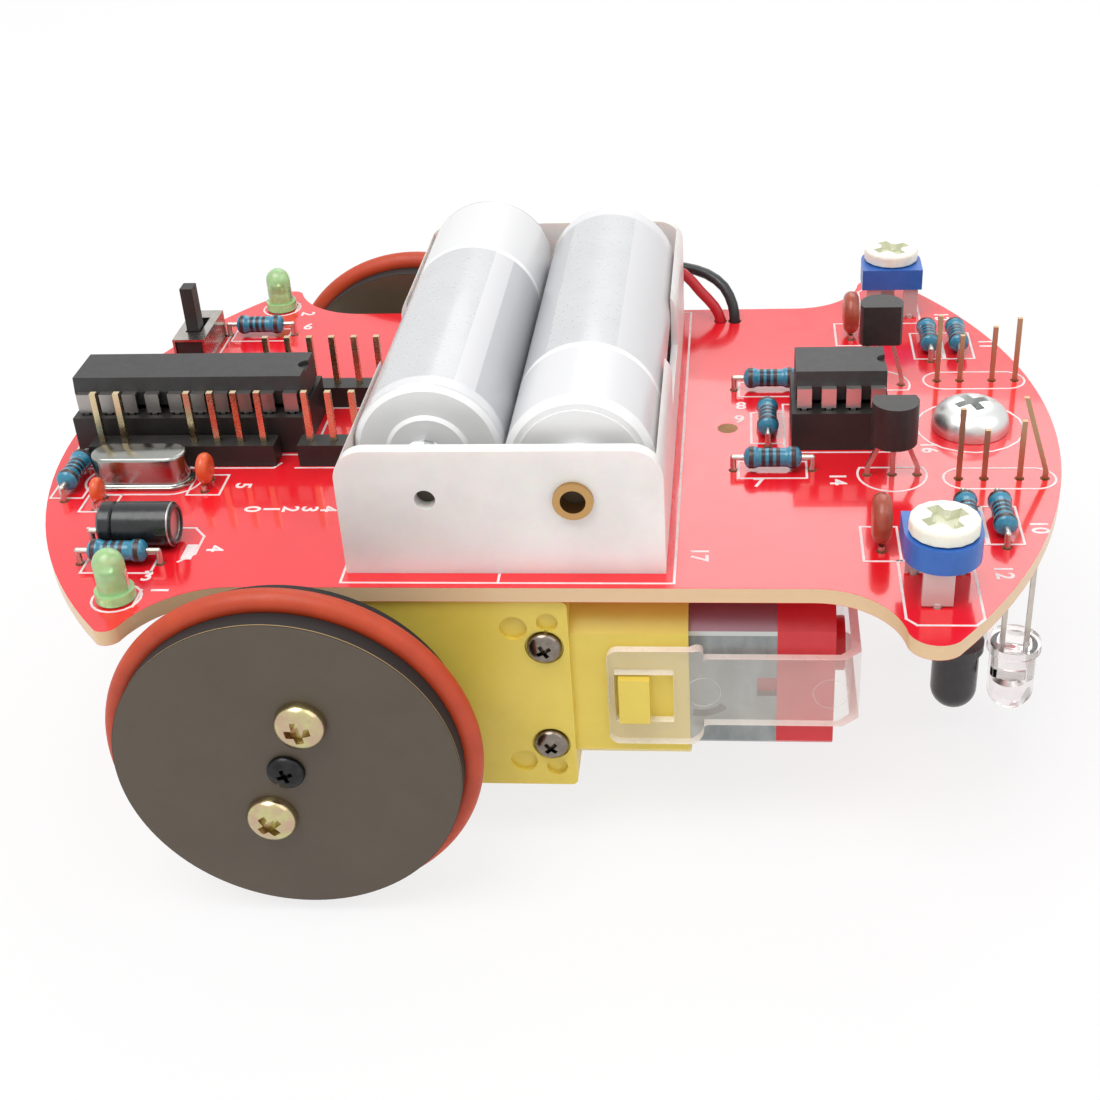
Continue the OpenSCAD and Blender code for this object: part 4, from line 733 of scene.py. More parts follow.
@dataclass
class BatteryLeads:
    """Two limp leads from the holder's rivets to their holes in the board, heights over the board's top."""

    diameter: float = 1.3
    red: tuple[Point, ...] = (
        (-8.625, 29.4, 8.1), (-8.625, 30.75, 8.1), (-8.225, 31.75, 8.0), (-7.2, 32.35, 7.7),
        (-5.7, 32.35, 7.25), (-3.6, 32.05, 6.65), (-0.9, 31.85, 6.0), (2.3, 31.75, 5.5), (5.6, 31.7, 5.35),
        (8.8, 31.55, 5.45), (11.4, 31.15, 5.5), (13.55, 30.4, 5.3), (15.57, 29.13, 3.5),
        (17.32, 28.33, 1.8), (18.07, 27.93, 0.2), (18.07, 27.93, -1.6))
    black: tuple[Point, ...] = (
        (5.225, 29.4, 8.1), (5.225, 30.7, 8.1), (4.5, 32.4, 8.4), (2.9, 33.5, 9.0), (1.05, 33.9, 9.55),
        (-0.55, 33.95, 9.85), (-2.05, 33.95, 9.6), (-3.2, 33.9, 8.65), (-3.65, 33.85, 7.2),
        (-3.05, 33.85, 5.75), (-1.45, 33.85, 4.95), (1.25, 33.9, 4.75), (4.65, 33.9, 4.8),
        (8.25, 33.85, 4.85), (11.1, 33.55, 4.95), (13.65, 32.8, 5.05), (16.4, 31.3, 4.8),
        (18.5, 29.8, 3.7), (19.55, 28.5, 1.9), (19.8, 27.9, 0.2), (19.8, 27.9, -1.6))

    def build(self) -> None:
        """Builds both leads as round cords."""
        self.lead("red_battery_lead", self.red, RED_VINYL, "red_lead")
        self.lead("black_battery_lead", self.black, BLACK_VINYL, "black_lead")

    def lead(self, name: str, route: Sequence[Point], finish: Finish, node: str) -> None:
        """Builds one lead as a round cord on a smooth curve.

        Args:
            name: The piece's name.
            route: Its points in millimetres.
            finish: Its insulation.
            node: The CAD node that it stands for.
        """
        points = [Vector(p) * MM + Vector((0, 0, BOARD_TOP * MM)) for p in self.smooth(route)]
        data = bpy.data.curves.new(name, "CURVE")
        data.dimensions = "3D"
        data.bevel_depth = self.diameter / 2 * MM
        data.bevel_resolution = 5
        data.use_fill_caps = True
        spline = data.splines.new("POLY")
        spline.points.add(len(points) - 1)
        for knot, p in zip(spline.points, points):
            knot.co = (*p, 1.0)
        spline.use_smooth = True
        data.materials.append(finish.material())
        made = link(name, data)
        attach(made, CHASSIS)
        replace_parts(made, node)

    @staticmethod
    def smooth(route: Sequence[Point]) -> list[Vector]:
        """Adds a point halfway along each span, on a curve through the route's points.

        Args:
            route: The route's points.

        Returns:
            The points of the finer route.
        """
        knots = [Vector(p) for p in route]
        knots = [2 * knots[0] - knots[1], *knots, 2 * knots[-1] - knots[-2]]
        fine: list[Vector] = []
        for a, b, c, d in zip(knots, knots[1:], knots[2:], knots[3:]):
            fine += [b, (9 * (b + c) - a - d) / 16]
        return [*fine, knots[-2]]


@dataclass
class BoardPrint:
    """The board's white printed outlines and numbers, and the tracks under it."""

    line: float = 0.24
    thick: float = 0.025
    lift: float = 0.002
    lifts: int = 5
    type_scale: float = 1.4
    type_bold: float = 0.05
    track_w: float = 0.8
    track_t: float = 0.035

    def __post_init__(self) -> None:
        """Starts the ink's mesh and counts its strokes."""
        self.ink = bmesh.new()
        self.strokes = 0

    def build(self) -> None:
        """Draws the print and the tracks, and dresses the board."""
        dress(BOARD, "main_board")
        dress(SOLDER, "solder_joints")
        self.outlines()
        self.numbers()
        piece("board_ink", self.ink, [INK])
        self.tracks()

    def level(self) -> float:
        """Gives the next stroke's top, a hair off the last one's so that crossing ones share no face."""
        self.strokes += 1
        return BOARD_TOP + self.thick + self.lift * (self.strokes % self.lifts)

    def stroke(self, *points: Pair, width: Optional[float] = None) -> None:
        """Prints straight lines through points.

        Args:
            points: Two or more places in millimetres.
            width: The line's width in millimetres, the usual one if left out.
        """
        for start, end in zip(points, points[1:]):
            strip(self.ink, start, end, width or self.line, BOARD_TOP, self.level())

    def rectangle(self, x: float, y: float, half_x: float, half_y: float) -> None:
        """Prints a rectangle's outline about a middle, half sizes in millimetres."""
        self.stroke((x - half_x, y - half_y), (x + half_x, y - half_y), (x + half_x, y + half_y),
                    (x - half_x, y + half_y), (x - half_x, y - half_y))

    def arc(self, x: float, y: float, r: float, start: float = 0.0, sweep: float = 360.0) -> None:
        """Prints a ring or a part of one.

        Args:
            x: Middle along the board.
            y: Middle across the board.
            r: Radius in millimetres.
            start: First angle in degrees.
            sweep: Angle that it spans in degrees.
        """
        ring(self.ink, at(x, y, BOARD_TOP), r, self.line, self.level() - BOARD_TOP, start, sweep)

    def oval(self, x: float, y: float, length: float, width: float) -> None:
        """Prints a long ring with round ends along the board.

        Args:
            x: Middle along the board.
            y: Middle across the board.
            length: Its length in millimetres.
            width: Its width in millimetres.
        """
        r = width / 2
        half = length / 2 - r
        for s in (-1, 1):
            self.stroke((x - half, y + s * r), (x + half, y + s * r))
        self.arc(x + half, y, r, -90, 180)
        self.arc(x - half, y, r, 90, 180)

    def outlines(self) -> None:
        """Prints the outline that each part is soldered into."""
        # Cell holder
        self.stroke((-17.3, -30.6), (14.4, -30.6), (14.4, 30.6), (-17.3, 30.6), (-17.3, -30.6))
        self.stroke((-2.2, -30.6), (-2.2, -29.1))
        # Sockets, resistors, crystal and disc capacitors
        self.rectangle(-39.0, 0.0, 13.4, 5.5)
        self.rectangle(31.0, 0.0, 5.8, 5.5)
        for x, y, across in Resistors.places:
            self.rectangle(x, y, 1.75 if across else 3.5, 3.5 if across else 1.75)
        self.oval(-42.6, -11.0, 12.6, 6.0)
        for x, y, r in ((-45.85, -15.8, 1.7), (-35.4, -12.0, 2.1), (33.9, -23.6, 3.1), (33.6, 23.6, 3.1)):
            self.rectangle(x, y, 1.75, r)
        # Lying capacitor with its polarity bar
        self.stroke((-45.5, -20.7), (-34.2, -20.7), (-32.9, -22.3), (-32.9, -25.6), (-34.2, -27.0))
        self.stroke((-33.6, -24.4), (-33.6, -26.0), width=1.1)
        # Lamps, sensors, transistors and trimmers on both sides
        for s in (-1, 1):
            self.arc(-38.3, s * 33.4, 2.35)
            self.stroke((-36.3, s * 32.0), (-36.3, s * 34.8))
            self.oval(46.7, s * 11.1, 11.2, 4.2)
            self.arc(36.0, s * 10.2, 3.5, 25 if s < 0 else 205, -230)
            self.stroke((32.9, s * 8.8), (39.1, s * 8.8))
            self.stroke((35.3, s * 26.6), (35.3, s * 36.2), (36.2, s * 37.2), (41.4, s * 37.2),
                        (42.2, s * 36.2), (42.2, s * 26.6), (35.3, s * 26.6))
        # Caster, headers and switch
        self.arc(45.0, 0.0, 5.7)
        self.stroke((-50.0, -8.4), (-29.2, -8.4), (-28.6, -7.4))
        self.stroke((-26.8, -8.4), (-18.7, -8.4), (-18.7, -5.4))
        self.stroke((-34.2, 8.4), (-18.7, 8.4), (-18.7, 5.4), (-34.2, 5.4), (-34.2, 8.4))
        self.rectangle(-45.3, 20.9, 2.4, 4.8)

    def number(self, text: str, x: float, y: float, size: float, turn: float = 0.0) -> None:
        """Prints a plain number.

        Args:
            text: The digits.
            x: Middle along the board.
            y: Middle across the board.
            size: Height of the type in millimetres.
            turn: Turn about the vertical in degrees.
        """
        curve = bpy.data.curves.new("digits", "FONT")
        curve.body = text
        curve.size = size * self.type_scale * MM
        curve.extrude = self.thick / 2 * MM
        curve.offset = self.type_bold * MM
        curve.resolution_u = 3
        curve.align_x = "CENTER"
        curve.align_y = "CENTER"
        holder = link("digits", curve)
        graph = bpy.context.evaluated_depsgraph_get()
        mesh = bpy.data.meshes.new_from_object(holder.evaluated_get(graph))
        mesh.transform(at(x, y, BOARD_TOP + self.thick / 2) @ turned(turn))
        self.ink.from_mesh(mesh)
        bpy.data.objects.remove(holder)
        bpy.data.curves.remove(curve)
        bpy.data.meshes.remove(mesh)

    def numbers(self) -> None:
        """Prints the generic numbers beside headers and parts."""
        for k in range(6):
            self.number(str(k), -29.4 + 2.0 * k, -17.0, 1.7, -90)
            self.number(str(k + 1), -32.7 + 2.54 * k, 10.1, 1.5)
        for text, x, y, turn in (
            ("1", -34.6, -32.0, -90), ("2", -34.6, 31.6, -90), ("3", -36.5, -29.6, 0),
            ("4", -31.2, -24.6, -90), ("5", -31.6, -12.2, -90), ("6", -33.6, 27.6, 0),
            ("7", 22.4, -11.9, 0), ("8", 20.6, 5.2, 0), ("9", 20.4, 2.0, 0), ("10", 49.2, -20.6, -90),
            ("11", 49.2, 20.6, -90), ("12", 44.8, -28.6, -90), ("13", 44.8, 28.4, -90),
            ("14", 30.4, -11.2, -90), ("15", 31.2, 12.4, -90), ("16", 40.2, -4.6, -90),
            ("17", 16.6, -25.6, -90),
        ):
            self.number(text, x, y, 1.7, turn)

    def tracks(self) -> None:
        """Lays copper tracks under the board, from joint to joint."""
        bm = bmesh.new()
        under = BOARD_TOP - BOARD_T
        routes: list[tuple[Pair, ...]] = [
            ((-50.43, 3.81), (-50.43, 12.0), (-45.3, 18.4)),
            ((-47.89, 3.81), (-47.89, 9.5), (-45.3, 12.1), (-45.3, 20.9)),
            ((-45.04, -11.0), (-45.3, -3.81)), ((-40.16, -11.0), (-40.27, -3.81)),
            ((-45.85, -14.53), (-45.04, -11.0)), ((-35.4, -10.73), (-40.16, -11.0)),
            ((-43.2, -22.43), (-45.85, -17.07)), ((-43.95, -27.3), (-39.57, -33.4)),
            ((-35.85, -27.3), (-30.1, -21.5), (-30.1, -6.8)), ((-34.85, 25.3), (-37.03, 33.4)),
            ((-42.95, 25.3), (-45.3, 23.4)), ((-32.7, 6.8), (-32.7, 3.81)), ((-30.16, 6.8), (-30.11, 3.81)),
            ((-25.08, 6.8), (10.0, 12.0), (27.19, 3.81)), ((-22.54, 6.8), (8.0, 9.2), (19.8, 9.2)),
            ((-25.14, -6.8), (8.0, -14.0), (33.46, -10.2)), ((-22.6, -6.8), (6.0, -9.2), (19.8, -9.2)),
            ((18.07, 27.93), (5.0, 20.0), (-30.0, 17.0), (-45.3, 18.4)),
            ((19.8, 27.9), (28.0, 26.0), (33.6, 24.87)), ((27.9, 9.2), (33.46, 10.2)),
            ((27.9, -9.2), (29.73, -3.81)), ((23.45, 4.05), (27.19, 3.81)),
            ((33.9, -24.87), (36.6, -28.6)), ((33.6, 24.87), (36.6, 28.6))]
        for s in (-1, 1):
            routes += [
                ((41.0, s * 28.6), (45.7, s * 24.25)), ((38.2, s * 34.2), (42.4, s * 24.25)),
                ((42.4, s * 16.15), (42.6, s * 11.1)), ((45.7, s * 16.15), (48.68, s * 11.1)),
                ((34.81, s * 3.81), (38.54, s * 10.2))]
        for route in routes:
            for start, end in zip(route, route[1:]):
                strip(bm, start, end, self.track_w, under - self.track_t, under)
        piece("board_tracks", bm, [TRACK])


@dataclass
class Resistors:
    """Ten film resistors with painted rings, on the CAD's bodies."""

    places: ClassVar[tuple[tuple[float, float, bool], ...]] = (
        (-39.9, -27.3, False), (-49.9, -11.2, True), (-38.9, 25.3, False), (23.85, 9.2, False),
        (23.45, 0.0, True), (23.85, -9.2, False), (42.4, 20.2, True), (45.7, 20.2, True),
        (42.4, -20.2, True), (45.7, -20.2, True))
    axis_z: float = BOARD_TOP + 1.5
    cap_r: float = 1.15
    waist_r: float = 0.98
    half: float = 3.0
    cap_len: float = 0.75
    cap_power: float = 2.2
    cap_fit: float = 0.995
    cap_step: float = 0.06
    neck_from: float = 1.15
    neck_len: float = 0.5
    body_from: float = -2.45
    body_step: float = 0.14
    proud: float = 0.012
    step: float = 0.004
    facets: int = 28
    rings: tuple[tuple[float, float, int], ...] = (
        (-2.2, 0.5, 1), (-0.95, 0.42, 2), (-0.2, 0.42, 2), (0.55, 0.42, 1), (2.15, 0.5, 1))

    def radius(self, h: float) -> float:
        """Gives the body's radius: round caps and a drawn-in waist.

        Args:
            h: Distance from the body's middle in millimetres.

        Returns:
            The radius in millimetres.
        """
        inset = self.half - abs(h)
        if inset < self.cap_len:
            fall = ((self.cap_len - inset) / self.cap_len) ** self.cap_power
            return self.cap_r * math.sqrt(max(0.0, 1 - fall)) * self.cap_fit
        share = min(max((inset - self.neck_from) / self.neck_len, 0.0), 1.0)
        return self.cap_r + (self.waist_r - self.cap_r) * share * share * (3 - 2 * share)

    def profile(self) -> list[tuple[float, float, int]]:
        """Gives the turned outline, with steps at the painted rings.

        Returns:
            Distance along the axis, radius and ring colour of each point.
        """
        heights = [-self.half + self.cap_step * k for k in range(8)]
        heights += [self.body_from + self.body_step * k for k in range(36)]
        heights += [self.half - self.cap_step * k for k in range(7, -1, -1)]
        points = [(h, self.radius(h), 0) for h in heights]
        for middle, width, tone in self.rings:
            low, high = middle - width / 2, middle + width / 2
            points = [p for p in points if not low <= p[0] <= high]
            inside = [low + (high - low) * k / 3 for k in range(4)]
            points += [(low, self.radius(low), 0), (high, self.radius(high), 0)]
            points += [(h + math.copysign(self.step, middle - h), self.radius(h) + self.proud, tone)
                       for h in inside]
        return sorted(points)

    def build(self) -> None:
        """Turns the ten bodies and paints their rings."""
        bm = bmesh.new()
        outline = self.profile()
        for x, y, across in self.places:
            lying = at(x, y, self.axis_z) @ turned(90 if across else 0) @ turned(90, "Y")
            back = lying.inverted()
            for face in lathe(bm, [(h, r) for h, r, _ in outline], lying, self.facets):
                h = (back @ face.calc_center_median()).z / MM
                face.material_index = next(
                    (tone for middle, width, tone in self.rings if abs(h - middle) < width / 2), 0)
        made = piece("banded_resistors", bm, [RESISTOR_BLUE, RING_BROWN, RING_BLACK])
        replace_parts(made, "resistors")


@dataclass
class LampFrames:
    """The metal frames seen inside the clear and green lamps: a cup on one lead, a post on the other."""

    sensor_x: float = 49.95
    sensor_y: float = 11.1
    sensor_top: float = BOARD_TOP - 20.0
    lamp_x: float = -38.3
    lamp_y: float = 33.4
    lamp_foot: float = BOARD_TOP + 0.15
    lamp_scale: float = 0.62
    step: float = 1.27
    tall: float = 4.6
    half: float = 0.25
    foot_gap: float = 0.05
    arm_reach: float = 0.9
    arm_high: float = 1.2
    post_more: float = 0.3
    edge: float = 0.06
    cup_back: float = 0.15

    def build(self) -> None:
        """Builds the four frames as one piece."""
        bm = bmesh.new()
        for s in (-1, 1):
            self.one(bm, (self.sensor_x, s * self.sensor_y, self.sensor_top), -1, 1.0)
            self.one(bm, (self.lamp_x, s * self.lamp_y, self.lamp_foot), 1, self.lamp_scale)
        piece("lamp_frames", bm, [SILVERED])

    def one(self, bm: Mesh, foot: Point, way: int, scale: float) -> None:
        """Adds one frame.

        Args:
            bm: The mesh.
            foot: The lamp's foot in millimetres.
            way: 1 where the lamp stands up, -1 where it hangs.
            scale: Size against a 5 mm lamp.
        """
        x, y, z = foot
        tall = self.tall * scale

        def bar(dx0: float, dx1: float, z0: float, z1: float) -> None:
            """Adds a flat bar with rounded edges.

            Args:
                dx0: Its low side, from the lamp's axis.
                dx1: Its high side, from the lamp's axis.
                z0: Its near end, from the foot.
                z1: Its far end, from the foot.
            """
            ends = sorted((z + way * z0, z + way * z1))
            verts = box(bm, (x + dx0, y - self.half, ends[0]), (x + dx1, y + self.half, ends[1]))
            ease(bm, verts, self.edge)

        bar(-self.step - self.half, -self.step + self.half, self.foot_gap, tall)
        bar(-self.step - self.half, self.arm_reach * scale, tall - self.arm_high * scale, tall)
        bar(self.step - self.half, self.step + self.half, self.foot_gap, tall + self.post_more * scale)
        cup = at(x - self.cup_back, y, z + way * tall) @ turned(180 if way < 0 else 0, "X")
        lathe(bm, [(-0.1, 0), (-0.1, 0.7 * scale), (0.6 * scale, scale), (0.62 * scale, 0.88 * scale),
                   (0.1, 0.5 * scale), (0.1, 0)], cup, 20)


def cut(name: str, solid: Mesh, tool: Mesh) -> Mesh:
    """Cuts one mesh out of another.

    Args:
        name: A name for the scratch objects.
        solid: The mesh that is cut; it is freed.
        tool: The mesh that is taken away; it is freed.

    Returns:
        The cut mesh.
    """
    pair = []
    for bm in (solid, tool):
        bmesh.ops.recalc_face_normals(bm, faces=bm.faces)
        pair.append(link(name, settle(name, bm)))
    change = pair[0].modifiers.new("recess", "BOOLEAN")
    change.operation = "DIFFERENCE"
    change.solver = "EXACT"
    change.use_self = True
    change.object = pair[1]
    mesh = bpy.data.meshes.new_from_object(pair[0].evaluated_get(bpy.context.evaluated_depsgraph_get()))
    made = bmesh.new()
    made.from_mesh(mesh)
    bpy.data.meshes.remove(mesh)
    for scratch in pair:
        data = scratch.data
        bpy.data.objects.remove(scratch)
        bpy.data.meshes.remove(data)
    return made


def cross(bm: Mesh, place: Matrix, reach: float, arm: float, depth: float, taper: float) -> None:
    """Adds a cross-shaped punch that narrows downwards.

    Args:
        bm: The mesh of the cutting tool.
        place: The punch's frame; it points down Z from its origin.
        reach: Half the length of an arm in millimetres.
        arm: Half the width of an arm in millimetres.
        depth: How far down it goes in millimetres.
        taper: Size of the lower end against the upper.
    """
    made = bmesh.ops.create_grid(bm, x_segments=3, y_segments=3, size=reach * MM)["verts"]
    for v in made:
        flat = [c if abs(c) > 0.5 * reach * MM else math.copysign(arm * MM, c) for c in v.co[:2]]
        v.co = Vector((*flat, 0.0))
    faces = list({f for v in made for f in v.link_faces})
    corners = [f for f in faces if min(abs(c) for c in f.calc_center_median()[:2]) > 0.5 * arm * MM]
    bmesh.ops.delete(bm, geom=corners, context="FACES")
    top = [f for f in faces if f.is_valid]
    grown = bmesh.ops.extrude_face_region(bm, geom=top)["geom"]
    lower = [g for g in grown if isinstance(g, bmesh.types.BMVert)]
    upper = list({v for f in top if f.is_valid for v in f.verts})
    bmesh.ops.translate(bm, vec=(0, 0, -depth * MM), verts=lower)
    bmesh.ops.scale(bm, vec=(taper, taper, 1.0), verts=lower)
    bmesh.ops.translate(bm, vec=(0, 0, 1.0 * MM), verts=upper)
    bmesh.ops.transform(bm, matrix=place, verts=lower + upper)


@dataclass(frozen=True)
class Screw:
    """One size of screw: a domed head with a cross recess on a shank, in millimetres."""

    head_r: float
    head_h: float
    shank_r: float
    shank_len: float
    edge: float = 0.3
    round_off: float = 1.0
    reach: float = 0.62
    arm: float = 0.17
    depth: float = 0.6
    taper: float = 0.55
    tip: float = 0.7
    root: float = 0.86
    thread: float = 0.0

    def profile(self) -> list[Pair]:
        """Gives the turned outline from the shank's end to the head's top.

        Returns:
            Height over the head's underside and radius of each point.
        """
        shank = [(-self.shank_len, 0.0), (-self.shank_len, self.tip * self.shank_r)]
        if self.thread:
            turns = int((self.shank_len - 1.0) / self.thread)
            for k in range(turns):
                h = -self.shank_len + self.thread * (k + 0.5)
                shank += [(h, self.root * self.shank_r), (h + self.thread / 2, self.shank_r)]
        else:
            shank.append((0.4 - self.shank_len, self.shank_r))
        shank += [(-0.05, 0.96 * self.shank_r), (0.0, self.head_r - 0.08), (0.08, self.head_r)]
        dome = [(self.head_h * (self.edge + (1 - self.edge) * math.sin(a)),
                 self.head_r * math.cos(a) ** self.round_off)
                for a in (math.radians(k) for k in range(0, 90, 9))]
        return [*shank, *dome, (self.head_h, 0.0)]


@dataclass
class Fasteners:
    """Wheel bolts with nuts, axle screws, gearbox screws and the caster's screw, turned smooth."""

    facets: int = 36
    wheel_face: float = 42.6
    wheel_back: float = 36.1
    bolt_ring: float = 6.0
    bolt_turns: tuple[Pair, ...] = ((69.0, 8.0), (249.0, 34.0))
    nut_r: float = 2.887
    nut_h: float = 2.0
    nut_edge: float = 0.12
    box_face: float = 30.6
    posts: tuple[Pair, ...] = ((23.4, 5.9), (23.4, -5.9), (-8.9, 7.6), (-8.9, -7.6))
    box_turn: float = 30.0
    box_turn_step: float = 17.0
    axle_turn: float = 20.0
    caster_x: float = 45.0
    caster_turn: float = 25.0
    bolt: Screw = Screw(2.45, 1.7, 1.2, 8.7, reach=0.68, arm=0.23, depth=0.5, thread=0.5)
    axle_screw: Screw = Screw(1.8, 1.0, 0.95, 9.6, arm=0.17)
    box_screw: Screw = Screw(1.7, 1.2, 0.95, 16.0, arm=0.17)
    caster: Screw = Screw(4.05, 3.1, 1.95, 28.6, edge=0.25, round_off=0.7, reach=0.55, arm=0.15, thread=0.7)

    @staticmethod
    def outward(x: float, y: float, z: float, side: int) -> Matrix:
        """Gives a frame whose Z points away from the robot's middle plane, at a place in millimetres."""
        return at(x, side * y, z) @ turned(-90 * side, "X")

    def group(self, name: str, screw: Screw, places: Sequence[tuple[Matrix, float]], finish: Finish,
              body: str = CHASSIS, nut_at: float = 0.0) -> None:
        """Builds equal screws as one piece that stands for a CAD node of the same name.

        Args:
            name: The CAD node's name.
            screw: Their size.
            places: Frame of each head's underside and turn of its recess in degrees.
            finish: Their plating.
            body: The body that carries them.
            nut_at: How far under the head a nut sits in millimetres, none if 0.
        """
        heads = bmesh.new()
        tool = bmesh.new()
        for place, turn in places:
            lathe(heads, screw.profile(), place, self.facets)
            cross(tool, place @ turned(turn) @ at(0, 0, screw.head_h), screw.reach * screw.head_r,
                  screw.arm * screw.head_r, screw.depth * screw.head_h, screw.taper)
        made = cut(name, heads, tool)
        for place, _ in places:
            if nut_at:
                self.nut(made, place @ at(0, 0, -nut_at - self.nut_h / 2))
        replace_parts(piece(f"{name}_turned", made, [finish], body), name)

    def nut(self, bm: Mesh, place: Matrix) -> None:
        """Adds a hexagon nut with eased edges, its middle at the frame's origin."""
        verts = bmesh.ops.create_cone(bm, cap_ends=True, segments=6, radius1=self.nut_r * MM,
                                      radius2=self.nut_r * MM, depth=self.nut_h * MM, matrix=place)["verts"]
        ease(bm, verts, self.nut_edge)

    def build(self) -> None:
        """Builds all four kinds."""
        for name, side in (("left", 1), ("right", -1)):
            turns = [(math.radians(a), turn) for a, turn in self.bolt_turns]
            bolts = [(self.outward(AXLE_X + self.bolt_ring * math.cos(a), self.wheel_face,
                                   AXLE_Z + self.bolt_ring * math.sin(a), side), turn) for a, turn in turns]
            self.group(f"{name}_wheel_bolts", self.bolt, bolts, YELLOW_ZINC, f"{name}_wheel",
                       self.wheel_face - self.wheel_back)
            self.group(f"{name}_axle_screw", self.axle_screw,
                       [(self.outward(AXLE_X, self.wheel_face, AXLE_Z, side), self.axle_turn)],
                       BLACK_OXIDE, f"{name}_wheel")
        self.group("gearbox_screws", self.box_screw,
                   [(self.outward(AXLE_X + x, self.box_face, AXLE_Z + z, side),
                     self.box_turn + self.box_turn_step * k)
                    for side in (1, -1) for k, (x, z) in enumerate(self.posts)], ZINC)
        self.group("caster_screw", self.caster,
                   [(at(self.caster_x, 0.0, BOARD_TOP), self.caster_turn)], POLISHED)


@dataclass
class CrystalCan:
    """The crystal's can with a rounded lid edge and a welded flange."""

    x: float = -42.6
    y: float = -11.0
    stretch: float = 3.2
    facets: int = 48
    outline: tuple[Pair, ...] = (
        (0.0, 0.0), (0.0, 2.25), (0.08, 2.325), (0.34, 2.325), (0.42, 2.25), (0.42, 2.0), (0.5, 1.9),
        (3.2, 1.9), (3.38, 1.87), (3.5, 1.8), (3.57, 1.7), (3.6, 1.58), (3.6, 0.0))

    def build(self) -> None:
        """Spins the round can and draws it out to its long shape."""
        bm = bmesh.new()
        lathe(bm, self.outline, turned(180 / self.facets), self.facets)
        for v in bm.verts:
            if abs(v.co.x) > 1e-7:
                v.co.x += math.copysign(self.stretch * MM, v.co.x)
        bmesh.ops.translate(bm, vec=Vector((self.x, self.y, BOARD_TOP)) * MM, verts=bm.verts)
        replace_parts(piece("crystal_drawn_can", bm, [NICKEL_CAN]), "crystal")


@dataclass
class TrimmerDials:
    """The trimmers' cream dials: many-sided, with a wide cross recess and a pointer notch."""

    x: float = 38.7
    y: float = 31.5
    foot: float = BOARD_TOP + 6.42
    thick: float = 1.38
    r: float = 3.2
    sides: int = 16
    spindle_r: float = 0.9
    spindle_len: float = 1.8
    recess_turn: float = 28.0
    recess: tuple[float, float, float, float] = (2.35, 0.7, 0.95, 0.82)
    notch: tuple[float, float, float, float] = (1.4, 0.95, 0.6, 0.8)
    notch_turn: float = 45.0
    recess_r: float = 2.5
    recess_low: float = 0.2
    recess_skin: float = 0.02

    def build(self) -> None:
        """Builds one dial on each turning body."""
        for name, side in (("left", 1), ("right", -1)):
            bm = bmesh.new()
            place = at(self.x, side * self.y, self.foot)
            faces = lathe(bm, [
                (-self.spindle_len, 0.0), (-self.spindle_len, self.spindle_r), (0.0, self.spindle_r),
                (0.0, self.r - 0.12), (0.12, self.r), (self.thick - 0.3, self.r),
                (self.thick - 0.1, self.r - 0.08), (self.thick, self.r - 0.3), (self.thick, 0.0)],
                place, self.sides)
            for face in faces:
                face.smooth = False
            tool = bmesh.new()
            top = place @ at(0, 0, self.thick) @ turned(self.recess_turn)
            cross(tool, top, *self.recess)
            cross(tool, top @ turned(self.notch_turn), *self.notch)
            made = cut(f"{name}_dial", bm, tool)
            # Faces down in the recess take the painted shade
            low = (self.foot + self.recess_low) * MM
            high = (self.foot + self.thick - self.recess_skin) * MM
            for face in made.faces:
                middle = face.calc_center_median()
                off = (middle - place.translation).to_2d().length
                face.material_index = 1 if low < middle.z < high and off < self.recess_r * MM else 0
            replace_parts(piece(f"{name}_trimmer_dial_notched", made, [CREAM, CREAM_RECESS_SHADE],
                              f"{name}_dial"), f"{name}_trimmer_dial")


@dataclass
class MotorStraps:
    """The clear straps, with painted highlights on their edges and round moulding marks, and the painted
    shade of the can's slot behind each.
    """

    node: str = "motor_straps"
    far_end_x: float = 20.0
    end_facing: float = 0.9
    edge_facing: float = 0.2
    face: float = 30.05
    marks: tuple[Point, ...] = ((16.95, 18.15, 1.7), (29.3, 18.1, 1.7))
    mark_w: float = 0.16
    mark_h: float = 0.02
    can_face: float = 29.05
    slot_place: Pair = (16.7, AXLE_Z)
    slot_r: float = 3.27
    slot_w: float = 0.8
    slot_start: float = -104.0
    slot_sweep: float = 58.0

    def build(self) -> None:
        """Builds the straps on the CAD's own shape, then the painted shade of the slots."""
        bm = bmesh.new()
        bm.from_mesh(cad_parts[self.node].data)
        bm.transform(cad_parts[self.node].matrix_world)
        bmesh.ops.remove_doubles(bm, verts=bm.verts, dist=SAME_POINT)
        bm.normal_update()
        # Edge and far-end faces take the painted edge highlight
        for face in bm.faces:
            ends = (abs(face.normal.x) > self.end_facing
                    and face.calc_center_median().x < self.far_end_x * MM)
            face.material_index = 1 if ends or abs(face.normal.z) > self.edge_facing else 0
        slots = bmesh.new()
        for side in (1, -1):
            # The rings of the moulding marks take the painted highlight
            for x, z, r in self.marks:
                for face in ring(bm, Fasteners.outward(x, self.face, z, side), r, self.mark_w, self.mark_h):
                    face.material_index = 2
            # A dark strip laid on the can, painted shade in its slot
            place = Fasteners.outward(self.slot_place[0], self.can_face, self.slot_place[1], side)
            ring(slots, place, self.slot_r, self.slot_w, self.mark_h, -side * self.slot_start,
                 -side * self.slot_sweep)
        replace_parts(piece("motor_straps_clear", bm, [STRAP, STRAP_EDGE_HIGHLIGHT, STRAP_MARK_HIGHLIGHT]), self.node)
        piece("motor_can_slot_painted_shade", slots, [CAN_SLOT])


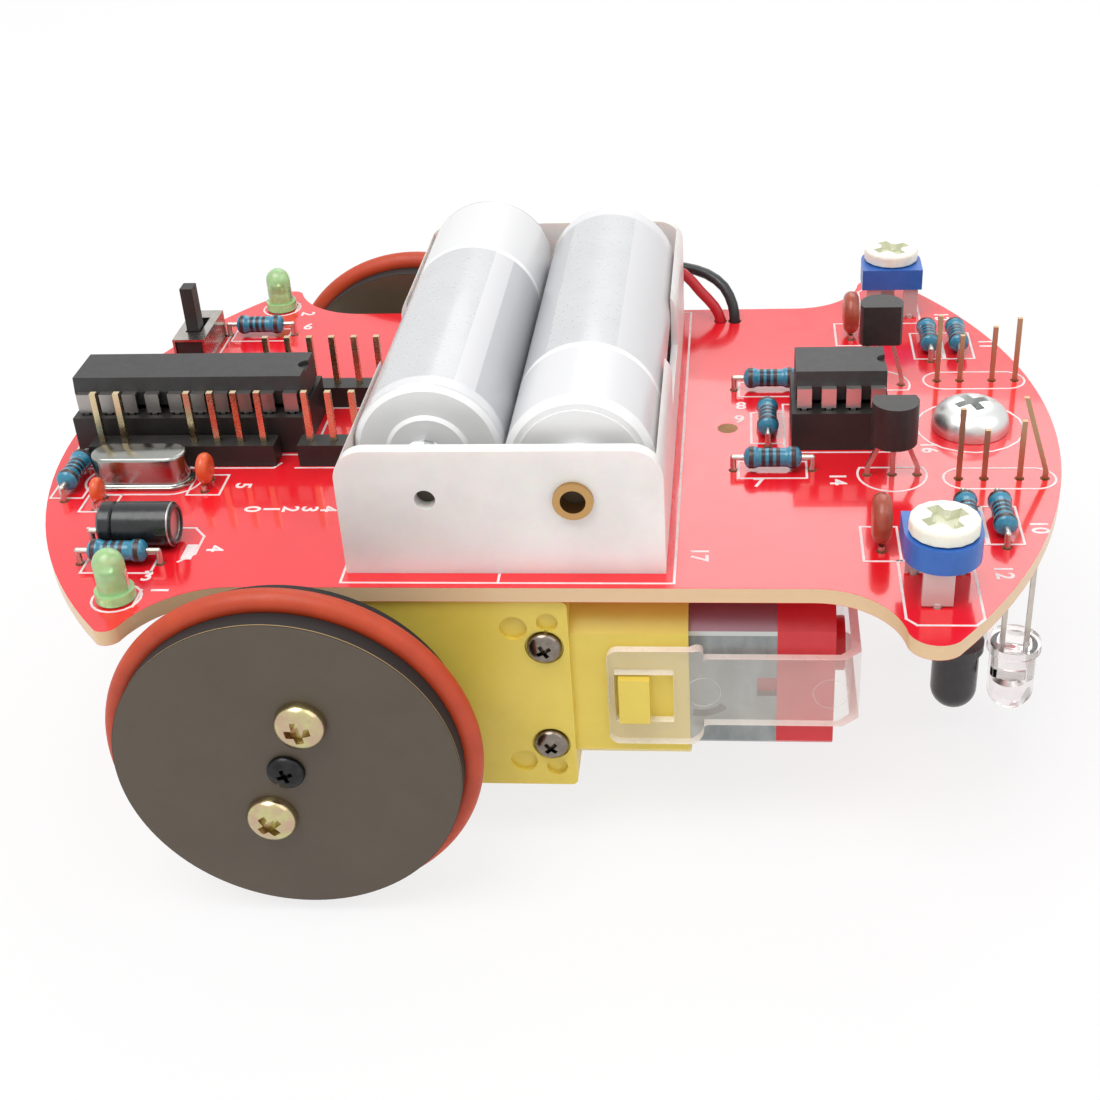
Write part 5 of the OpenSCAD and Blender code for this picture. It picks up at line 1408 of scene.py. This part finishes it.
@dataclass
class Electronics:
    """Finishes of the soldered parts."""

    def build(self) -> None:
        """Dresses the parts on the board."""
        dress(BLACK_NYLON, "chip_sockets", "header_strips", "switch_body", "switch_lever")
        dress(LEGGED_CHIP, "microcontroller", "comparator")
        dress(EPOXY, "transistors")
        dress(CERAMIC, "ceramic_capacitors")
        dress(SLEEVE, "electrolytic_capacitor")
        dress(TINNED, "component_leads")
        dress(GREEN_LENS, "indicator_leds")
        dress(CLEAR_LENS, "infrared_emitters")
        dress(DARK_LENS, "infrared_receivers")
        dress(GOLD, "header_pins")
        dress(TIN_SHEET, "switch_frame")
        dress(BLUE, "trimmer_bodies")


@dataclass
class BatteryBay:
    """Finishes of the holder and its cells."""

    def build(self) -> None:
        """Dresses the holder, contacts and cells."""
        dress(HOLDER, "battery_holder")
        dress(SPRING, "battery_springs")
        dress(CONTACT, "battery_contacts")
        dress(REAR_WRAP, "rear_cell")
        dress(FRONT_WRAP, "front_cell")


@dataclass
class Drive:
    """Finishes of the geared motors, wheels and caster."""

    def build(self) -> None:
        """Dresses both sides."""
        dress(POLISHED, "caster_nut", "caster_cap_nut")
        dress(FOAM, "motor_pads")
        dress(SPRING, "gear_pins")
        dress(RED_CAP, "motor_end_caps")
        dress(CAN, "motor_cans")
        dress(YELLOW, "gearbox_covers", "gearbox_bases")
        for side in ("left", "right"):
            dress(NYLON, f"{side}_output_shaft", f"{side}_middle_gear", f"{side}_crown_gear")
            dress(ROTOR, f"{side}_motor_rotor")
            dress(DISC, f"{side}_outer_disc", f"{side}_inner_disc")
            dress(CORE, f"{side}_core_disc")
            dress(RUBBER, f"{side}_tyre")


def main() -> None:
    """Builds the scene in order."""
    logging.basicConfig(level=logging.INFO, format="%(message)s")
    for assembly in (Studio(), BatteryLeads(), BoardPrint(), Resistors(), LampFrames(), Fasteners(),
                     CrystalCan(), TrimmerDials(), MotorStraps(), Electronics(), BatteryBay(), Drive()):
        assembly.build()
        LOG.info("finished %s", type(assembly).__name__)


if __name__ == "__main__":
    main()
